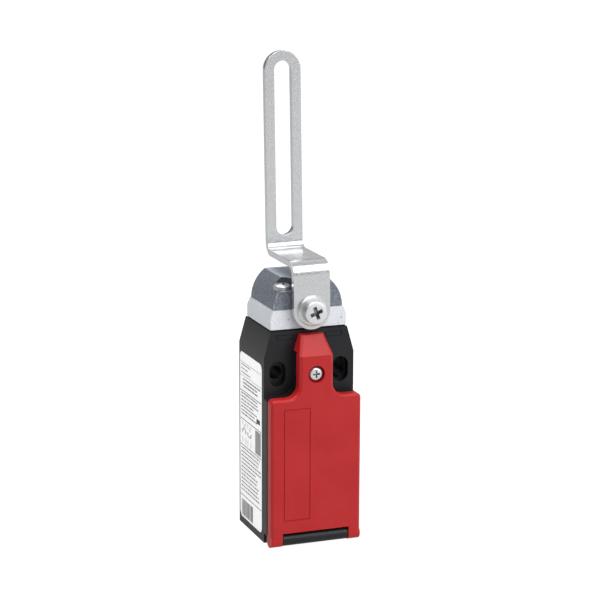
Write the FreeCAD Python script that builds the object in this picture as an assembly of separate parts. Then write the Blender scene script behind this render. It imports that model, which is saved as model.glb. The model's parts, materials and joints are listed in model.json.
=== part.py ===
# Safety limit switch with an adjustable-length lever, in millimetres.
# X is to the right, Y points back, Z is up. The origin is the middle of the bottom.
# The lever turns a shaft, a cam on the shaft presses a plunger down, and the plunger
# moves a carrier with two bridging contacts: one opens, the other closes.

import FreeCAD, Part
import math
import os

from FreeCAD import Vector

# Housing
HOUSING_WIDTH = 30.0
HOUSING_BACK_Y = 15.5
HOUSING_HEIGHT = 68.5
EAR_FRONT_Y = -8.6
SHOULDER_BELOW_TOP = 8.0
SHOULDER_IN = 2.25
SIDE_WALL = 2.0
BACK_WALL = 2.2
CAVITY_BOTTOM_Z = 6.0
CAVITY_BELOW_TOP = 22.0
BACK_EDGE_BEVEL = 0.3

# Rim that carries the cover, and its outline
RIM_FRONT_Y = -11.2
RIM_BOTTOM_Z = 3.2
RIM_BELOW_TOP = 6.5
NECK_START_BELOW_TOP = 20.3
NECK_WIDTH = 11.1
NECK_FILLET = 4.0
SHOULDER_CORNER = 1.4
NECK_WALL = 1.8
NECK_POCKET_BELOW_SCREW = 4.2
NECK_POCKET_DEPTH = 5.0

# Cover
COVER_BACK_Y = -12.0
COVER_FRONT_Y = -15.5
COVER_PLATE = 1.8
COVER_LAND = 2.6
COVER_EDGE_BEVEL = 0.7
CREASE_BELOW_RIM_TOP = 0.5
TONGUE_BELOW_TOP = 1.0
TONGUE_LEAN = 3.7
TONGUE_NARROWING = 1.8
TONGUE_BACK_GAP = 0.3
FRAME_IN_X = 4.1
FRAME_RIGHT_X = -2.0
FRAME_BOTTOM_Z = 8.7
FRAME_BELOW_NECK = 3.1
ENGRAVING_WIDTH = 0.35
ENGRAVING_DEPTH = 0.22

# Hinge of the cover
HINGE_Y = -13.35
HINGE_Z = 2.15
EYE_RADIUS = 2.15
EAR_WIDTH = 3.85
CUTOUT_TOP_Z = 4.7
HINGE_SIDE_GAP = 0.3
HINGE_BAR_RADIUS = 2.0
HINGE_WEB_HEIGHT = 3.2
HINGE_PIN_RADIUS = 1.0
HINGE_PIN_SHORT = 3.0
RUNNING_GAP = 0.05

# Gasket between rim and cover
COVER_GASKET_INSET = 0.7
COVER_GASKET_WIDTH = 1.2
COVER_GASKET_SQUEEZE_GAP = 0.05

# Captive screw of the cover and its nut
COVER_SCREW_BELOW_TOP = 12.9
COVER_SCREW_HEAD_RADIUS = 2.2
COVER_SCREW_HEAD_HEIGHT = 1.7
COVER_SCREW_RECESS_RADIUS = 2.75
COVER_SCREW_RECESS_DEPTH = 2.0
COVER_SCREW_CORE_RADIUS = 1.2
COVER_SCREW_ENGAGEMENT = 3.0
COVER_SCREW_HOLE_RADIUS = 1.5
INSERT_OUTER_RADIUS = 2.3
INSERT_BORE_RADIUS = 1.5
INSERT_LENGTH = 4.5
RETAINER_OUTER_RADIUS = 2.4
RETAINER_THICKNESS = 0.5

# Fixing holes in the ears
FIXING_IN_X = 4.5
FIXING_BELOW_TOP = 13.6
FIXING_RADIUS = 2.15
FIXING_SLOT_LENGTH = 7.2
RECESS_WIDTH = 5.3
RECESS_HEIGHT = 8.1
RECESS_DEPTH = 2.5

# Thin outlines cut into the ears below the head
EAR_OUTLINE_IN_X = 1.75
EAR_OUTLINE_INNER_X = 5.2
EAR_OUTLINE_BELOW_TOP = 1.1
EAR_OUTLINE_HEIGHT = 1.7

# Conduit entry in the bottom
CONDUIT_RADIUS = 9.25
CONDUIT_WALL = 1.9
CONDUIT_LENGTH = 9.0
CONDUIT_Y = 2.0

# Rating label on the left side
LABEL_FRONT_Y = -6.5
LABEL_BACK_Y = 14.5
LABEL_BOTTOM_Z = 2.3
LABEL_BELOW_SHOULDER = 2.8
LABEL_CORNER = 2.0
LABEL_THICKNESS = 0.2

# Cast head
HEAD_IN_X = 0.1
HEAD_FRONT_Y = -8.0
HEAD_BACK_Y = 14.2
HEAD_STAND = 0.4
HEAD_SLANT = 2.3
HEAD_SLANT_IN = 1.0
HEAD_SHELF = 0.2
SHAFT_ABOVE_HOUSING = 6.5
DOME_SET_BACK = 0.4
DOME_FLAT_ABOVE_SHAFT = 9.2
HEAD_CAVITY_RADIUS = 6.4
HEAD_CAVITY_BEFORE_PLUNGER = 3.5
HEAD_CAVITY_BEHIND_PLUNGER = 3.6

# Screws of the head
HEAD_SCREW_FROM_PLUNGER = 7.5
HEAD_SCREW_LEDGE_ABOVE_SHAFT = 6.0
HEAD_SCREW_POCKET_RADIUS = 3.0
HEAD_SCREW_HEAD_RADIUS = 2.75
HEAD_SCREW_HEAD_HEIGHT = 2.0
HEAD_SCREW_SHANK_RADIUS = 1.5
HEAD_SCREW_DEPTH = 8.5
SCREW_CLEARANCE = 0.1

# Gasket under the head
HEAD_GASKET_INSET = 0.4
HEAD_GASKET_WIDTH = 1.1
HEAD_GASKET_THICKNESS = 0.8

# Shaft
JOURNAL_RADIUS = 3.5
JOURNAL_SHORT = 0.1
SEAT_COLLAR_RADIUS = 2.6
CAM_SEAT_RADIUS = 2.0
CAM_SEAT_FLAT = 1.5
SHAFT_END_Y = 11.0
SHAFT_COLLAR_RADIUS = 4.6
SHAFT_COLLAR_GAP = 0.3
SPIGOT_RADIUS = 2.75
SPIGOT_SHORT = 0.1
LEVER_SCREW_CORE_RADIUS = 1.65
LEVER_SCREW_BORE_DEPTH = 8.5
BUSH_WALL = 1.1
SEAL_WALL = 1.45
SEAL_IN = 0.2
SEAL_LENGTH = 2.2
SEAL_TO_BUSH = 1.0
CIRCLIP_THICKNESS = 0.5
CIRCLIP_OUTER_RADIUS = 3.4
CIRCLIP_GROOVE_DEPTH = 0.4

# Cam: a dent at the bottom that rises the same way on both sides
CAM_SMALL_RADIUS = 3.3
CAM_WIDTH = 4.8
CAM_TURN_DEGREES = 90.0
CAM_CURVE_STEPS = 12

# Plunger
PLUNGER_TRAVEL = 2.2
PLUNGER_RADIUS = 2.5
PLUNGER_CAM_GAP = 0.2
PLUNGER_END_BELOW_ROOF = 0.5
GUIDE_WALL = 1.25
GUIDE_LENGTH = 12.5
GUIDE_FLANGE_RADIUS = 4.6
GUIDE_FLANGE_HEIGHT = 1.0
PLUNGER_PASSAGE_RADIUS = 3.0
PLUNGER_SEAL_WALL = 0.5
PLUNGER_SEAL_HEIGHT = 0.8
PLUNGER_SEAL_GAP = 0.1

# Lever
LEVER_WIDTH = 12.0
LEVER_THICKNESS = 2.0
LEG_FRONT_Y = -11.3
BLADE_FRONT_Y = 12.45
JOGGLE_TOP_ABOVE_SHAFT = 15.6
BEND_INNER_RADIUS = 2.4
BLADE_END_ABOVE_SHAFT = 72.4
SLOT_START_ABOVE_SHAFT = 22.6
SLOT_WIDTH = 5.7
LEVER_LEAN_DEGREES = -1.0
WASHER_RADIUS = 4.8
WASHER_THICKNESS = 1.0
WASHER_BEVEL = 0.4
LEVER_SCREW_HEAD_RADIUS = 3.7
LEVER_SCREW_HEAD_HEIGHT = 2.8
LEVER_SCREW_LENGTH = 7.5
LEVER_SCREW_TURN_DEGREES = 20.0
WASHER_HOLE_CLEARANCE = 0.4

# Contact block
BLOCK_SIDE_GAP = 0.4
BLOCK_ABOVE_CONDUIT = 1.0
BLOCK_BELOW_ROOF = 2.9
BLOCK_PLATE_FRONT_Y = 7.2
GUIDE_BRIDGE_FRONT_Y = -0.2
GUIDE_BRIDGE_TO_TAB = 0.9
UPPER_BRIDGE_BELOW_TOP = 0.6
UPPER_BRIDGE_HEIGHT = 3.0
LOWER_BRIDGE_BELOW_CARRIER = 3.4
SPRING_FLOOR_ABOVE_BLOCK = 1.5
PARTITION_THICKNESS = 1.2
PARTITION_PAST_TAB = 0.2

# Terminals
TERMINAL_THICKNESS = 0.8
TAB_THICKNESS = 1.0
TAB_FRONT_Y = 0.4
TAB_WIDTH = 5.8
TAB_HEIGHT = 5.6
TAB_IN = 0.4
ARM_INNER_X = 3.5
ARM_HALF_DEPTH = 1.4
BUTTON_X = 4.45
BUTTON_RADIUS = 0.85
BUTTON_HEIGHT = 0.3
CONTACT_SPACING = 9.4
CLOSED_GAP = 0.05
OPEN_GAP = 2.25
TERMINAL_SCREW_RADIUS = 1.5
TERMINAL_SCREW_HEAD_RADIUS = 2.3
TERMINAL_SCREW_HEAD_HEIGHT = 1.9
TERMINAL_SCREW_LENGTH = 6.0
CLAMP_THICKNESS = 1.0
CLAMP_WIDTH = 5.0

# Contact carrier, bridges and springs
CARRIER_HALF_WIDTH = 2.7
CARRIER_HALF_DEPTH = 2.6
CARRIER_ABOVE_CONTACT = 1.6
CARRIER_START_ABOVE_CONTACT = 0.3
STEM_RADIUS = 2.0
WINDOW_HALF_DEPTH = 1.5
WINDOW_WEB = 0.9
BRIDGE_HALF_LENGTH = 5.4
BRIDGE_THICKNESS = 0.6
BRIDGE_SEAT_GAP = 0.05
CONTACT_SPRING_RADIUS = 0.95
CONTACT_SPRING_WIRE = 0.3
CONTACT_SPRING_PITCH = 0.74
RETURN_SPRING_RADIUS = 1.6
RETURN_SPRING_WIRE = 0.4
RETURN_SPRING_PITCH = 2.1

# Screws of the contact block
BLOCK_SCREW_FROM_PARTITION = 2.7
BLOCK_SCREW_HEAD_RADIUS = 2.3
BLOCK_SCREW_HEAD_HEIGHT = 1.6
BLOCK_SCREW_RADIUS = 1.2
BLOCK_SCREW_BITE = 1.2

# Cross recesses and plain forms of the screws
CROSS_WIDTH = 0.7
CROSS_DEPTH = 0.8
CROSS_IN = 0.9
HEAD_BEVEL = 0.7
BAR_SIDES = 12
HEAD_SIDES = 18

# Places that follow from the sizes above
HALF_WIDTH = HOUSING_WIDTH / 2
TOP_HALF_WIDTH = HALF_WIDTH - SHOULDER_IN
SHOULDER_Z = HOUSING_HEIGHT - SHOULDER_BELOW_TOP
CAVITY_TOP_Z = HOUSING_HEIGHT - CAVITY_BELOW_TOP
CAVITY_BACK_Y = HOUSING_BACK_Y - BACK_WALL
CAVITY_HALF_WIDTH = HALF_WIDTH - SIDE_WALL
RIM_TOP_Z = HOUSING_HEIGHT - RIM_BELOW_TOP
NECK_START_Z = HOUSING_HEIGHT - NECK_START_BELOW_TOP
CREASE_Z = RIM_TOP_Z - CREASE_BELOW_RIM_TOP
TONGUE_TOP_Z = HOUSING_HEIGHT - TONGUE_BELOW_TOP
FRAME_LEFT_X = FRAME_IN_X - HALF_WIDTH
FRAME_TOP_Z = NECK_START_Z - FRAME_BELOW_NECK
COVER_SCREW_Z = HOUSING_HEIGHT - COVER_SCREW_BELOW_TOP
NECK_POCKET_TOP_Z = COVER_SCREW_Z - NECK_POCKET_BELOW_SCREW
FIXING_X = HALF_WIDTH - FIXING_IN_X
FIXING_Z = HOUSING_HEIGHT - FIXING_BELOW_TOP
EAR_OUTLINE_OUTER_X = TOP_HALF_WIDTH - EAR_OUTLINE_IN_X
EAR_OUTLINE_TOP_Z = HOUSING_HEIGHT - EAR_OUTLINE_BELOW_TOP
EAR_OUTLINE_BOTTOM_Z = EAR_OUTLINE_TOP_Z - EAR_OUTLINE_HEIGHT
LABEL_TOP_Z = SHOULDER_Z - LABEL_BELOW_SHOULDER
GASKET_BACK_Y = RIM_FRONT_Y - COVER_GASKET_SQUEEZE_GAP
EAR_INNER_X = HALF_WIDTH - EAR_WIDTH
BAR_HALF_LENGTH = EAR_INNER_X - HINGE_SIDE_GAP
HINGE_PIN_HALF_LENGTH = (HOUSING_WIDTH - HINGE_PIN_SHORT) / 2

SHAFT_Z = HOUSING_HEIGHT + SHAFT_ABOVE_HOUSING
HEAD_HALF_WIDTH = TOP_HALF_WIDTH - HEAD_IN_X
HEAD_BOTTOM_Z = HOUSING_HEIGHT + HEAD_STAND
HEAD_SLANT_Z = SHAFT_Z - HEAD_SLANT
HEAD_SHELF_X = HEAD_HALF_WIDTH - HEAD_SLANT_IN
DOME_RADIUS = HEAD_SHELF_X - HEAD_SHELF
DOME_FRONT_Y = HEAD_FRONT_Y + DOME_SET_BACK
DOME_BACK_Y = HEAD_BACK_Y - DOME_SET_BACK
DOME_TOP_Z = SHAFT_Z + DOME_FLAT_ABOVE_SHAFT
PLUNGER_Y = (HEAD_FRONT_Y + HEAD_BACK_Y) / 2
HEAD_CAVITY_FRONT_Y = PLUNGER_Y - HEAD_CAVITY_BEFORE_PLUNGER
HEAD_CAVITY_BACK_Y = PLUNGER_Y + HEAD_CAVITY_BEHIND_PLUNGER
HEAD_SCREW_LEDGE_Z = SHAFT_Z + HEAD_SCREW_LEDGE_ABOVE_SHAFT
HEAD_SCREW_TIP_Z = HOUSING_HEIGHT - HEAD_SCREW_DEPTH
HEAD_SCREW_PLACES = [
    (-HEAD_SCREW_FROM_PLUNGER, PLUNGER_Y - HEAD_SCREW_FROM_PLUNGER),
    (HEAD_SCREW_FROM_PLUNGER, PLUNGER_Y + HEAD_SCREW_FROM_PLUNGER),
]

CAM_RISE_PER_RADIAN = PLUNGER_TRAVEL / math.radians(CAM_TURN_DEGREES)
CAM_LARGE_RADIUS = CAM_SMALL_RADIUS + PLUNGER_TRAVEL
CAM_FRONT_Y = PLUNGER_Y - CAM_WIDTH / 2
CAM_BACK_Y = PLUNGER_Y + CAM_WIDTH / 2
PLUNGER_TIP_Z = SHAFT_Z - CAM_SMALL_RADIUS - PLUNGER_CAM_GAP
PLUNGER_BOTTOM_Z = CAVITY_TOP_Z - PLUNGER_END_BELOW_ROOF
GUIDE_BOTTOM_Z = HOUSING_HEIGHT - GUIDE_LENGTH
GUIDE_RADIUS = PLUNGER_RADIUS + RUNNING_GAP + GUIDE_WALL
FRONT_BUSH_RADIUS = JOURNAL_RADIUS + RUNNING_GAP + BUSH_WALL
REAR_BUSH_RADIUS = CAM_SEAT_RADIUS + RUNNING_GAP + BUSH_WALL
SEAL_RADIUS = JOURNAL_RADIUS + RUNNING_GAP + SEAL_WALL
SEAL_FRONT_Y = DOME_FRONT_Y + SEAL_IN
SEAL_BACK_Y = SEAL_FRONT_Y + SEAL_LENGTH
FRONT_BUSH_FRONT_Y = SEAL_BACK_Y + SEAL_TO_BUSH
JOURNAL_BACK_Y = HEAD_CAVITY_FRONT_Y - JOURNAL_SHORT
SHAFT_COLLAR_BACK_Y = HEAD_FRONT_Y - SHAFT_COLLAR_GAP
LEG_BACK_Y = LEG_FRONT_Y + LEVER_THICKNESS
BLADE_BACK_Y = BLADE_FRONT_Y + LEVER_THICKNESS
JOGGLE_TOP_Z = SHAFT_Z + JOGGLE_TOP_ABOVE_SHAFT
WASHER_FRONT_Y = LEG_FRONT_Y - WASHER_THICKNESS
LEVER_SCREW_FRONT_Y = WASHER_FRONT_Y - LEVER_SCREW_HEAD_HEIGHT

BLOCK_HALF_WIDTH = CAVITY_HALF_WIDTH - BLOCK_SIDE_GAP
BLOCK_BOTTOM_Z = CONDUIT_LENGTH + BLOCK_ABOVE_CONDUIT
BLOCK_TOP_Z = CAVITY_TOP_Z - BLOCK_BELOW_ROOF
UPPER_BRIDGE_TOP_Z = BLOCK_TOP_Z - UPPER_BRIDGE_BELOW_TOP
UPPER_BRIDGE_BOTTOM_Z = UPPER_BRIDGE_TOP_Z - UPPER_BRIDGE_HEIGHT
TAB_OUTER_X = BLOCK_HALF_WIDTH - TAB_IN
TAB_INNER_X = TAB_OUTER_X - TAB_WIDTH
TAB_MIDDLE_X = (TAB_INNER_X + TAB_OUTER_X) / 2
TAB_BACK_Y = TAB_FRONT_Y + TAB_THICKNESS
GUIDE_BRIDGE_HALF_WIDTH = TAB_INNER_X - GUIDE_BRIDGE_TO_TAB
PARTITION_INNER_X = TAB_INNER_X - PARTITION_PAST_TAB
OPENING_ARM_Z = BLOCK_TOP_Z - TAB_IN - TAB_HEIGHT
OPENING_CONTACT_Z = OPENING_ARM_Z - BUTTON_HEIGHT
OPENING_BRIDGE_TOP_Z = OPENING_CONTACT_Z - CLOSED_GAP - BUTTON_HEIGHT
CLOSING_CONTACT_Z = OPENING_CONTACT_Z - CONTACT_SPACING
CLOSING_ARM_TOP_Z = CLOSING_CONTACT_Z - BUTTON_HEIGHT
CLOSING_BRIDGE_BOTTOM_Z = CLOSING_CONTACT_Z + OPEN_GAP + BUTTON_HEIGHT
PARTITION_MIDDLE_Z = (OPENING_ARM_Z + CLOSING_ARM_TOP_Z) / 2
PARTITION_BOTTOM_Z = PARTITION_MIDDLE_Z - PARTITION_THICKNESS / 2
PARTITION_TOP_Z = PARTITION_MIDDLE_Z + PARTITION_THICKNESS / 2
BLOCK_SCREW_PLACES = [
    (-TAB_MIDDLE_X, PARTITION_BOTTOM_Z - BLOCK_SCREW_FROM_PARTITION),
    (TAB_MIDDLE_X, PARTITION_TOP_Z + BLOCK_SCREW_FROM_PARTITION),
]
CARRIER_TOP_Z = OPENING_CONTACT_Z + CARRIER_ABOVE_CONTACT
CARRIER_BOTTOM_Z = CLOSING_CONTACT_Z + CARRIER_START_ABOVE_CONTACT
SPRING_FLOOR_Z = BLOCK_BOTTOM_Z + SPRING_FLOOR_ABOVE_BLOCK
STEM_BOTTOM_Z = (SPRING_FLOOR_Z + CARRIER_BOTTOM_Z) / 2
LOWER_BRIDGE_TOP_Z = CARRIER_BOTTOM_Z - LOWER_BRIDGE_BELOW_CARRIER
CLOSING_SPRING_FLOOR_Z = CLOSING_BRIDGE_BOTTOM_Z + BRIDGE_THICKNESS
OPENING_SPRING_TOP_Z = OPENING_BRIDGE_TOP_Z - BRIDGE_THICKNESS
WINDOW_WEB_BOTTOM_Z = (CLOSING_SPRING_FLOOR_Z + OPENING_SPRING_TOP_Z - WINDOW_WEB) / 2
WINDOW_WEB_TOP_Z = WINDOW_WEB_BOTTOM_Z + WINDOW_WEB

ALONG_X = Vector(1, 0, 0)
ALONG_Y = Vector(0, 1, 0)
ALONG_Z = Vector(0, 0, 1)


# Basic forms
def box(x0, x1, y0, y1, z0, z1):
    return Part.makeBox(x1 - x0, y1 - y0, z1 - z0, Vector(x0, y0, z0))


def rod_y(radius, x, y0, y1, z):
    return Part.makeCylinder(radius, y1 - y0, Vector(x, y0, z), ALONG_Y)


def rod_z(radius, x, y, z0, z1):
    return Part.makeCylinder(radius, z1 - z0, Vector(x, y, z0), ALONG_Z)


def rod_x(radius, x0, x1, y, z):
    return Part.makeCylinder(radius, x1 - x0, Vector(x0, y, z), ALONG_X)


def bar_z(radius, x, y, z0, z1, sides=BAR_SIDES):
    """Many-sided upright bar: the plain form of small round pieces that repeat."""
    turns = [2 * math.pi * step / sides for step in range(sides + 1)]
    wire = Part.makePolygon([Vector(x + radius * math.cos(a), y + radius * math.sin(a), z0) for a in turns])
    return Part.Face(wire).extrude(Vector(0, 0, z1 - z0))


def bar_y(radius, x, y0, y1, z):
    turns = [2 * math.pi * step / BAR_SIDES for step in range(BAR_SIDES + 1)]
    wire = Part.makePolygon([Vector(x + radius * math.cos(a), y0, z + radius * math.sin(a)) for a in turns])
    return Part.Face(wire).extrude(Vector(0, y1 - y0, 0))


def tube_y(outer, inner, x, y0, y1, z):
    return rod_y(outer, x, y0, y1, z).cut(rod_y(inner, x, y0, y1, z))


def tube_z(outer, inner, x, y, z0, z1):
    return rod_z(outer, x, y, z0, z1).cut(rod_z(inner, x, y, z0, z1))


def fuse_all(first, others):
    return first.multiFuse(others).removeSplitter()


def prism_y(points, y0, y1):
    """Straight outline of (x, z) points, drawn out from y0 to y1."""
    wire = Part.makePolygon([Vector(x, y0, z) for x, z in points + points[:1]])
    return Part.Face(wire).extrude(Vector(0, y1 - y0, 0))


def oblong_y(x, z, width, height, y0, y1):
    """Upright oblong with half-round ends, drawn out along Y."""
    radius = width / 2
    reach = height / 2 - radius
    middle = box(x - radius, x + radius, y0, y1, z - reach, z + reach)
    ends = [rod_y(radius, x, y0, y1, z + side * reach) for side in (-1, 1)]
    return fuse_all(middle, ends)


def cross(radius):
    """Cross of two bars about the Z axis, sunk from z = 0 down."""
    half = CROSS_WIDTH / 2
    long_bar = box(-radius, radius, -half, half, -CROSS_DEPTH, 0.1)
    return long_bar.fuse(box(-half, half, -radius, radius, -CROSS_DEPTH, 0.1))


def crossed_screw(head_radius, head_height, shank_radius, length):
    """Pan-head screw with a cross, its head's top at z = 0 and its shank down."""
    head = Part.makeCylinder(head_radius, head_height, Vector(0, 0, -head_height))
    top_edge = [edge for edge in head.Edges if edge.BoundBox.ZMin > -0.001]
    head = head.makeChamfer(HEAD_BEVEL, top_edge)
    head = head.cut(cross(head_radius - CROSS_IN))
    shank = bar_z(shank_radius, 0, 0, -head_height - length, -head_height)
    return head.fuse(shank).removeSplitter()


def plain_screw(head_radius, head_height, shank_radius, length):
    """Screw inside the body: head and shank only, its head's top at z = 0."""
    head = bar_z(head_radius, 0, 0, -head_height, 0, HEAD_SIDES)
    shank = bar_z(shank_radius, 0, 0, -head_height - length, -head_height)
    return head.fuse(shank).removeSplitter()


def facing_front(shape, x, y, z):
    """Turns a form that points up so that it points to -Y, and puts it in place."""
    turned = shape.copy()
    turned.rotate(Vector(0, 0, 0), ALONG_X, 90)
    turned.translate(Vector(x, y, z))
    return turned


def coil(radius, wire, pitch, z0, z1, x, y):
    """Spring of square wire that stays between z0 and z1, its ends ground flat."""
    height = z1 - z0
    turns = max(round(height / pitch), 2)
    path = Part.makeHelix(height / turns, height, radius)
    half = wire / 2
    corners = [(-half, -half), (half, -half), (half, half), (-half, half), (-half, -half)]
    section = Part.makePolygon([Vector(radius + across, 0, up) for across, up in corners])
    body = Part.Wire(path.Edges).makePipeShell([section], True, True)
    body.translate(Vector(x, y, z0))
    room = 2 * (radius + wire)
    ends = box(x - room, x + room, y - room, y + room, z0, z1)
    return body.common(ends)


def write(name, shape):
    shape.exportStep("parts/" + name + ".step")



# Outline that the rim, the gasket and the cover share
def cover_outline(inset, bottom_z, top_z, y):
    """Upside-down T, drawn in by inset: wide below, a neck above, round inner corners."""
    wide = HALF_WIDTH - inset
    neck = NECK_WIDTH / 2 - inset
    shoulder = NECK_START_Z - inset
    inner = NECK_FILLET + inset
    corner = max(SHOULDER_CORNER - inset, 0.2)
    slant = math.sqrt(0.5)
    wide_arc = Vector(wide - corner + corner * slant, y, shoulder - corner + corner * slant)
    neck_arc = Vector(neck + inner - inner * slant, y, shoulder + inner - inner * slant)
    right = [
        Part.LineSegment(Vector(wide, y, bottom_z), Vector(wide, y, shoulder - corner)),
        Part.Arc(Vector(wide, y, shoulder - corner), wide_arc, Vector(wide - corner, y, shoulder)),
        Part.LineSegment(Vector(wide - corner, y, shoulder), Vector(neck + inner, y, shoulder)),
        Part.Arc(Vector(neck + inner, y, shoulder), neck_arc, Vector(neck, y, shoulder + inner)),
        Part.LineSegment(Vector(neck, y, shoulder + inner), Vector(neck, y, top_z)),
    ]
    right_edges = [curve.toShape() for curve in right]
    mirror = FreeCAD.Matrix()
    mirror.scale(-1, 1, 1)
    left_edges = [edge.transformGeometry(mirror) for edge in right_edges]
    top = Part.LineSegment(Vector(neck, y, top_z), Vector(-neck, y, top_z)).toShape()
    bottom = Part.LineSegment(Vector(-wide, y, bottom_z), Vector(wide, y, bottom_z)).toShape()
    ordered = Part.__sortEdges__(right_edges + left_edges + [top, bottom])
    return Part.Face(Part.Wire(ordered))


def cover_plate(inset, bottom_z, top_z, y0, y1):
    return cover_outline(inset, bottom_z, top_z, y0).extrude(Vector(0, y1 - y0, 0))


def outline_groove(x0, x1, z0, z1, face_y):
    """Thin engraved rectangle in a face that looks to -Y."""
    deep = face_y + ENGRAVING_DEPTH
    outer = box(x0, x1, face_y - 1, deep, z0, z1)
    line = ENGRAVING_WIDTH
    inner = box(x0 + line, x1 - line, face_y - 1, deep, z0 + line, z1 - line)
    return outer.cut(inner)


# Housing, with its rim, hinge bar, cavity, conduit collar and screw holes
def make_housing():
    outline = [
        (-HALF_WIDTH, 0), (HALF_WIDTH, 0), (HALF_WIDTH, SHOULDER_Z),
        (TOP_HALF_WIDTH, HOUSING_HEIGHT), (-TOP_HALF_WIDTH, HOUSING_HEIGHT), (-HALF_WIDTH, SHOULDER_Z),
    ]
    body = prism_y(outline, EAR_FRONT_Y, HOUSING_BACK_Y)
    back_edges = [edge for edge in body.Edges if edge.BoundBox.YMin > HOUSING_BACK_Y - 0.001]
    body = body.makeChamfer(BACK_EDGE_BEVEL, back_edges)
    rim = cover_plate(0, RIM_BOTTOM_Z, RIM_TOP_Z, RIM_FRONT_Y, EAR_FRONT_Y + 1)
    bar = rod_x(HINGE_BAR_RADIUS, -BAR_HALF_LENGTH, BAR_HALF_LENGTH, HINGE_Y, HINGE_Z)
    web_half = HINGE_WEB_HEIGHT / 2
    web = box(-BAR_HALF_LENGTH, BAR_HALF_LENGTH, HINGE_Y, EAR_FRONT_Y + 1,
              HINGE_Z - web_half, HINGE_Z + web_half)
    body = fuse_all(body, [rim, bar, web])

    body = body.cut(box(-CAVITY_HALF_WIDTH, CAVITY_HALF_WIDTH, RIM_FRONT_Y - 1, CAVITY_BACK_Y,
                        CAVITY_BOTTOM_Z, CAVITY_TOP_Z))
    neck_half = NECK_WIDTH / 2 - NECK_WALL
    body = body.cut(box(-neck_half, neck_half, RIM_FRONT_Y - 1, RIM_FRONT_Y + NECK_POCKET_DEPTH,
                        CAVITY_TOP_Z - 1, NECK_POCKET_TOP_Z))
    collar = rod_z(CONDUIT_RADIUS + CONDUIT_WALL, 0, CONDUIT_Y, 0, CONDUIT_LENGTH)
    body = body.fuse(collar).cut(rod_z(CONDUIT_RADIUS, 0, CONDUIT_Y, -1, CONDUIT_LENGTH + 1))

    cuts = [rod_x(HINGE_PIN_RADIUS, -HALF_WIDTH, HALF_WIDTH, HINGE_Y, HINGE_Z)]
    for side in (-1, 1):
        cuts.append(oblong_y(side * FIXING_X, FIXING_Z, RECESS_WIDTH, RECESS_HEIGHT,
                             EAR_FRONT_Y - 1, EAR_FRONT_Y + RECESS_DEPTH))
        edge_x = sorted((side * EAR_OUTLINE_INNER_X, side * EAR_OUTLINE_OUTER_X))
        cuts.append(outline_groove(edge_x[0], edge_x[1], EAR_OUTLINE_BOTTOM_Z,
                                   EAR_OUTLINE_TOP_Z, EAR_FRONT_Y))
    cuts.append(rod_y(FIXING_RADIUS, -FIXING_X, EAR_FRONT_Y, HOUSING_BACK_Y + 1, FIXING_Z))
    cuts.append(oblong_y(FIXING_X, FIXING_Z, 2 * FIXING_RADIUS, FIXING_SLOT_LENGTH,
                         EAR_FRONT_Y, HOUSING_BACK_Y + 1))
    cuts.append(rod_y(INSERT_OUTER_RADIUS, 0, RIM_FRONT_Y - 1, RIM_FRONT_Y + INSERT_LENGTH, COVER_SCREW_Z))
    for x, y in HEAD_SCREW_PLACES:
        cuts.append(bar_z(HEAD_SCREW_SHANK_RADIUS + SCREW_CLEARANCE, x, y,
                          HEAD_SCREW_TIP_Z - 1, HOUSING_HEIGHT + 1))
    cuts.append(rod_z(GUIDE_RADIUS, 0, PLUNGER_Y, GUIDE_BOTTOM_Z, HOUSING_HEIGHT + 1))
    cuts.append(rod_z(GUIDE_FLANGE_RADIUS, 0, PLUNGER_Y, HOUSING_HEIGHT - GUIDE_FLANGE_HEIGHT,
                      HOUSING_HEIGHT + 1))
    cuts.append(rod_z(PLUNGER_PASSAGE_RADIUS, 0, PLUNGER_Y, CAVITY_TOP_Z - 1, GUIDE_BOTTOM_Z))
    for x, z in BLOCK_SCREW_PLACES:
        cuts.append(bar_y(BLOCK_SCREW_RADIUS, x, CAVITY_BACK_Y - 1, CAVITY_BACK_Y + BLOCK_SCREW_BITE, z))
    cuts.append(label_form())
    for tool in cuts:
        body = body.cut(tool)
    return body.removeSplitter()


def label_form():
    plate = box(-HALF_WIDTH, -HALF_WIDTH + LABEL_THICKNESS, LABEL_FRONT_Y, LABEL_BACK_Y,
                LABEL_BOTTOM_Z, LABEL_TOP_Z)
    corners = [edge for edge in plate.Edges if edge.BoundBox.XLength > LABEL_THICKNESS / 2]
    return plate.makeFillet(LABEL_CORNER, corners)


def make_cover_screw_insert():
    return tube_y(INSERT_OUTER_RADIUS, INSERT_BORE_RADIUS, 0, RIM_FRONT_Y,
                  RIM_FRONT_Y + INSERT_LENGTH, COVER_SCREW_Z)


def make_hinge_pin():
    return rod_x(HINGE_PIN_RADIUS, -HINGE_PIN_HALF_LENGTH, HINGE_PIN_HALF_LENGTH, HINGE_Y, HINGE_Z)


# Cover: a T-shaped tray with a leaning tongue, two hinge ears and a screw recess
def tongue_section(half, front_y, z):
    """Flat section of the tongue, with its two front corners bevelled."""
    back_y = EAR_FRONT_Y - TONGUE_BACK_GAP
    bevel = COVER_EDGE_BEVEL
    corners = [
        (half, back_y), (half, front_y + bevel), (half - bevel, front_y),
        (bevel - half, front_y), (-half, front_y + bevel), (-half, back_y), (half, back_y),
    ]
    return Part.makePolygon([Vector(x, y, z) for x, y in corners])


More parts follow.
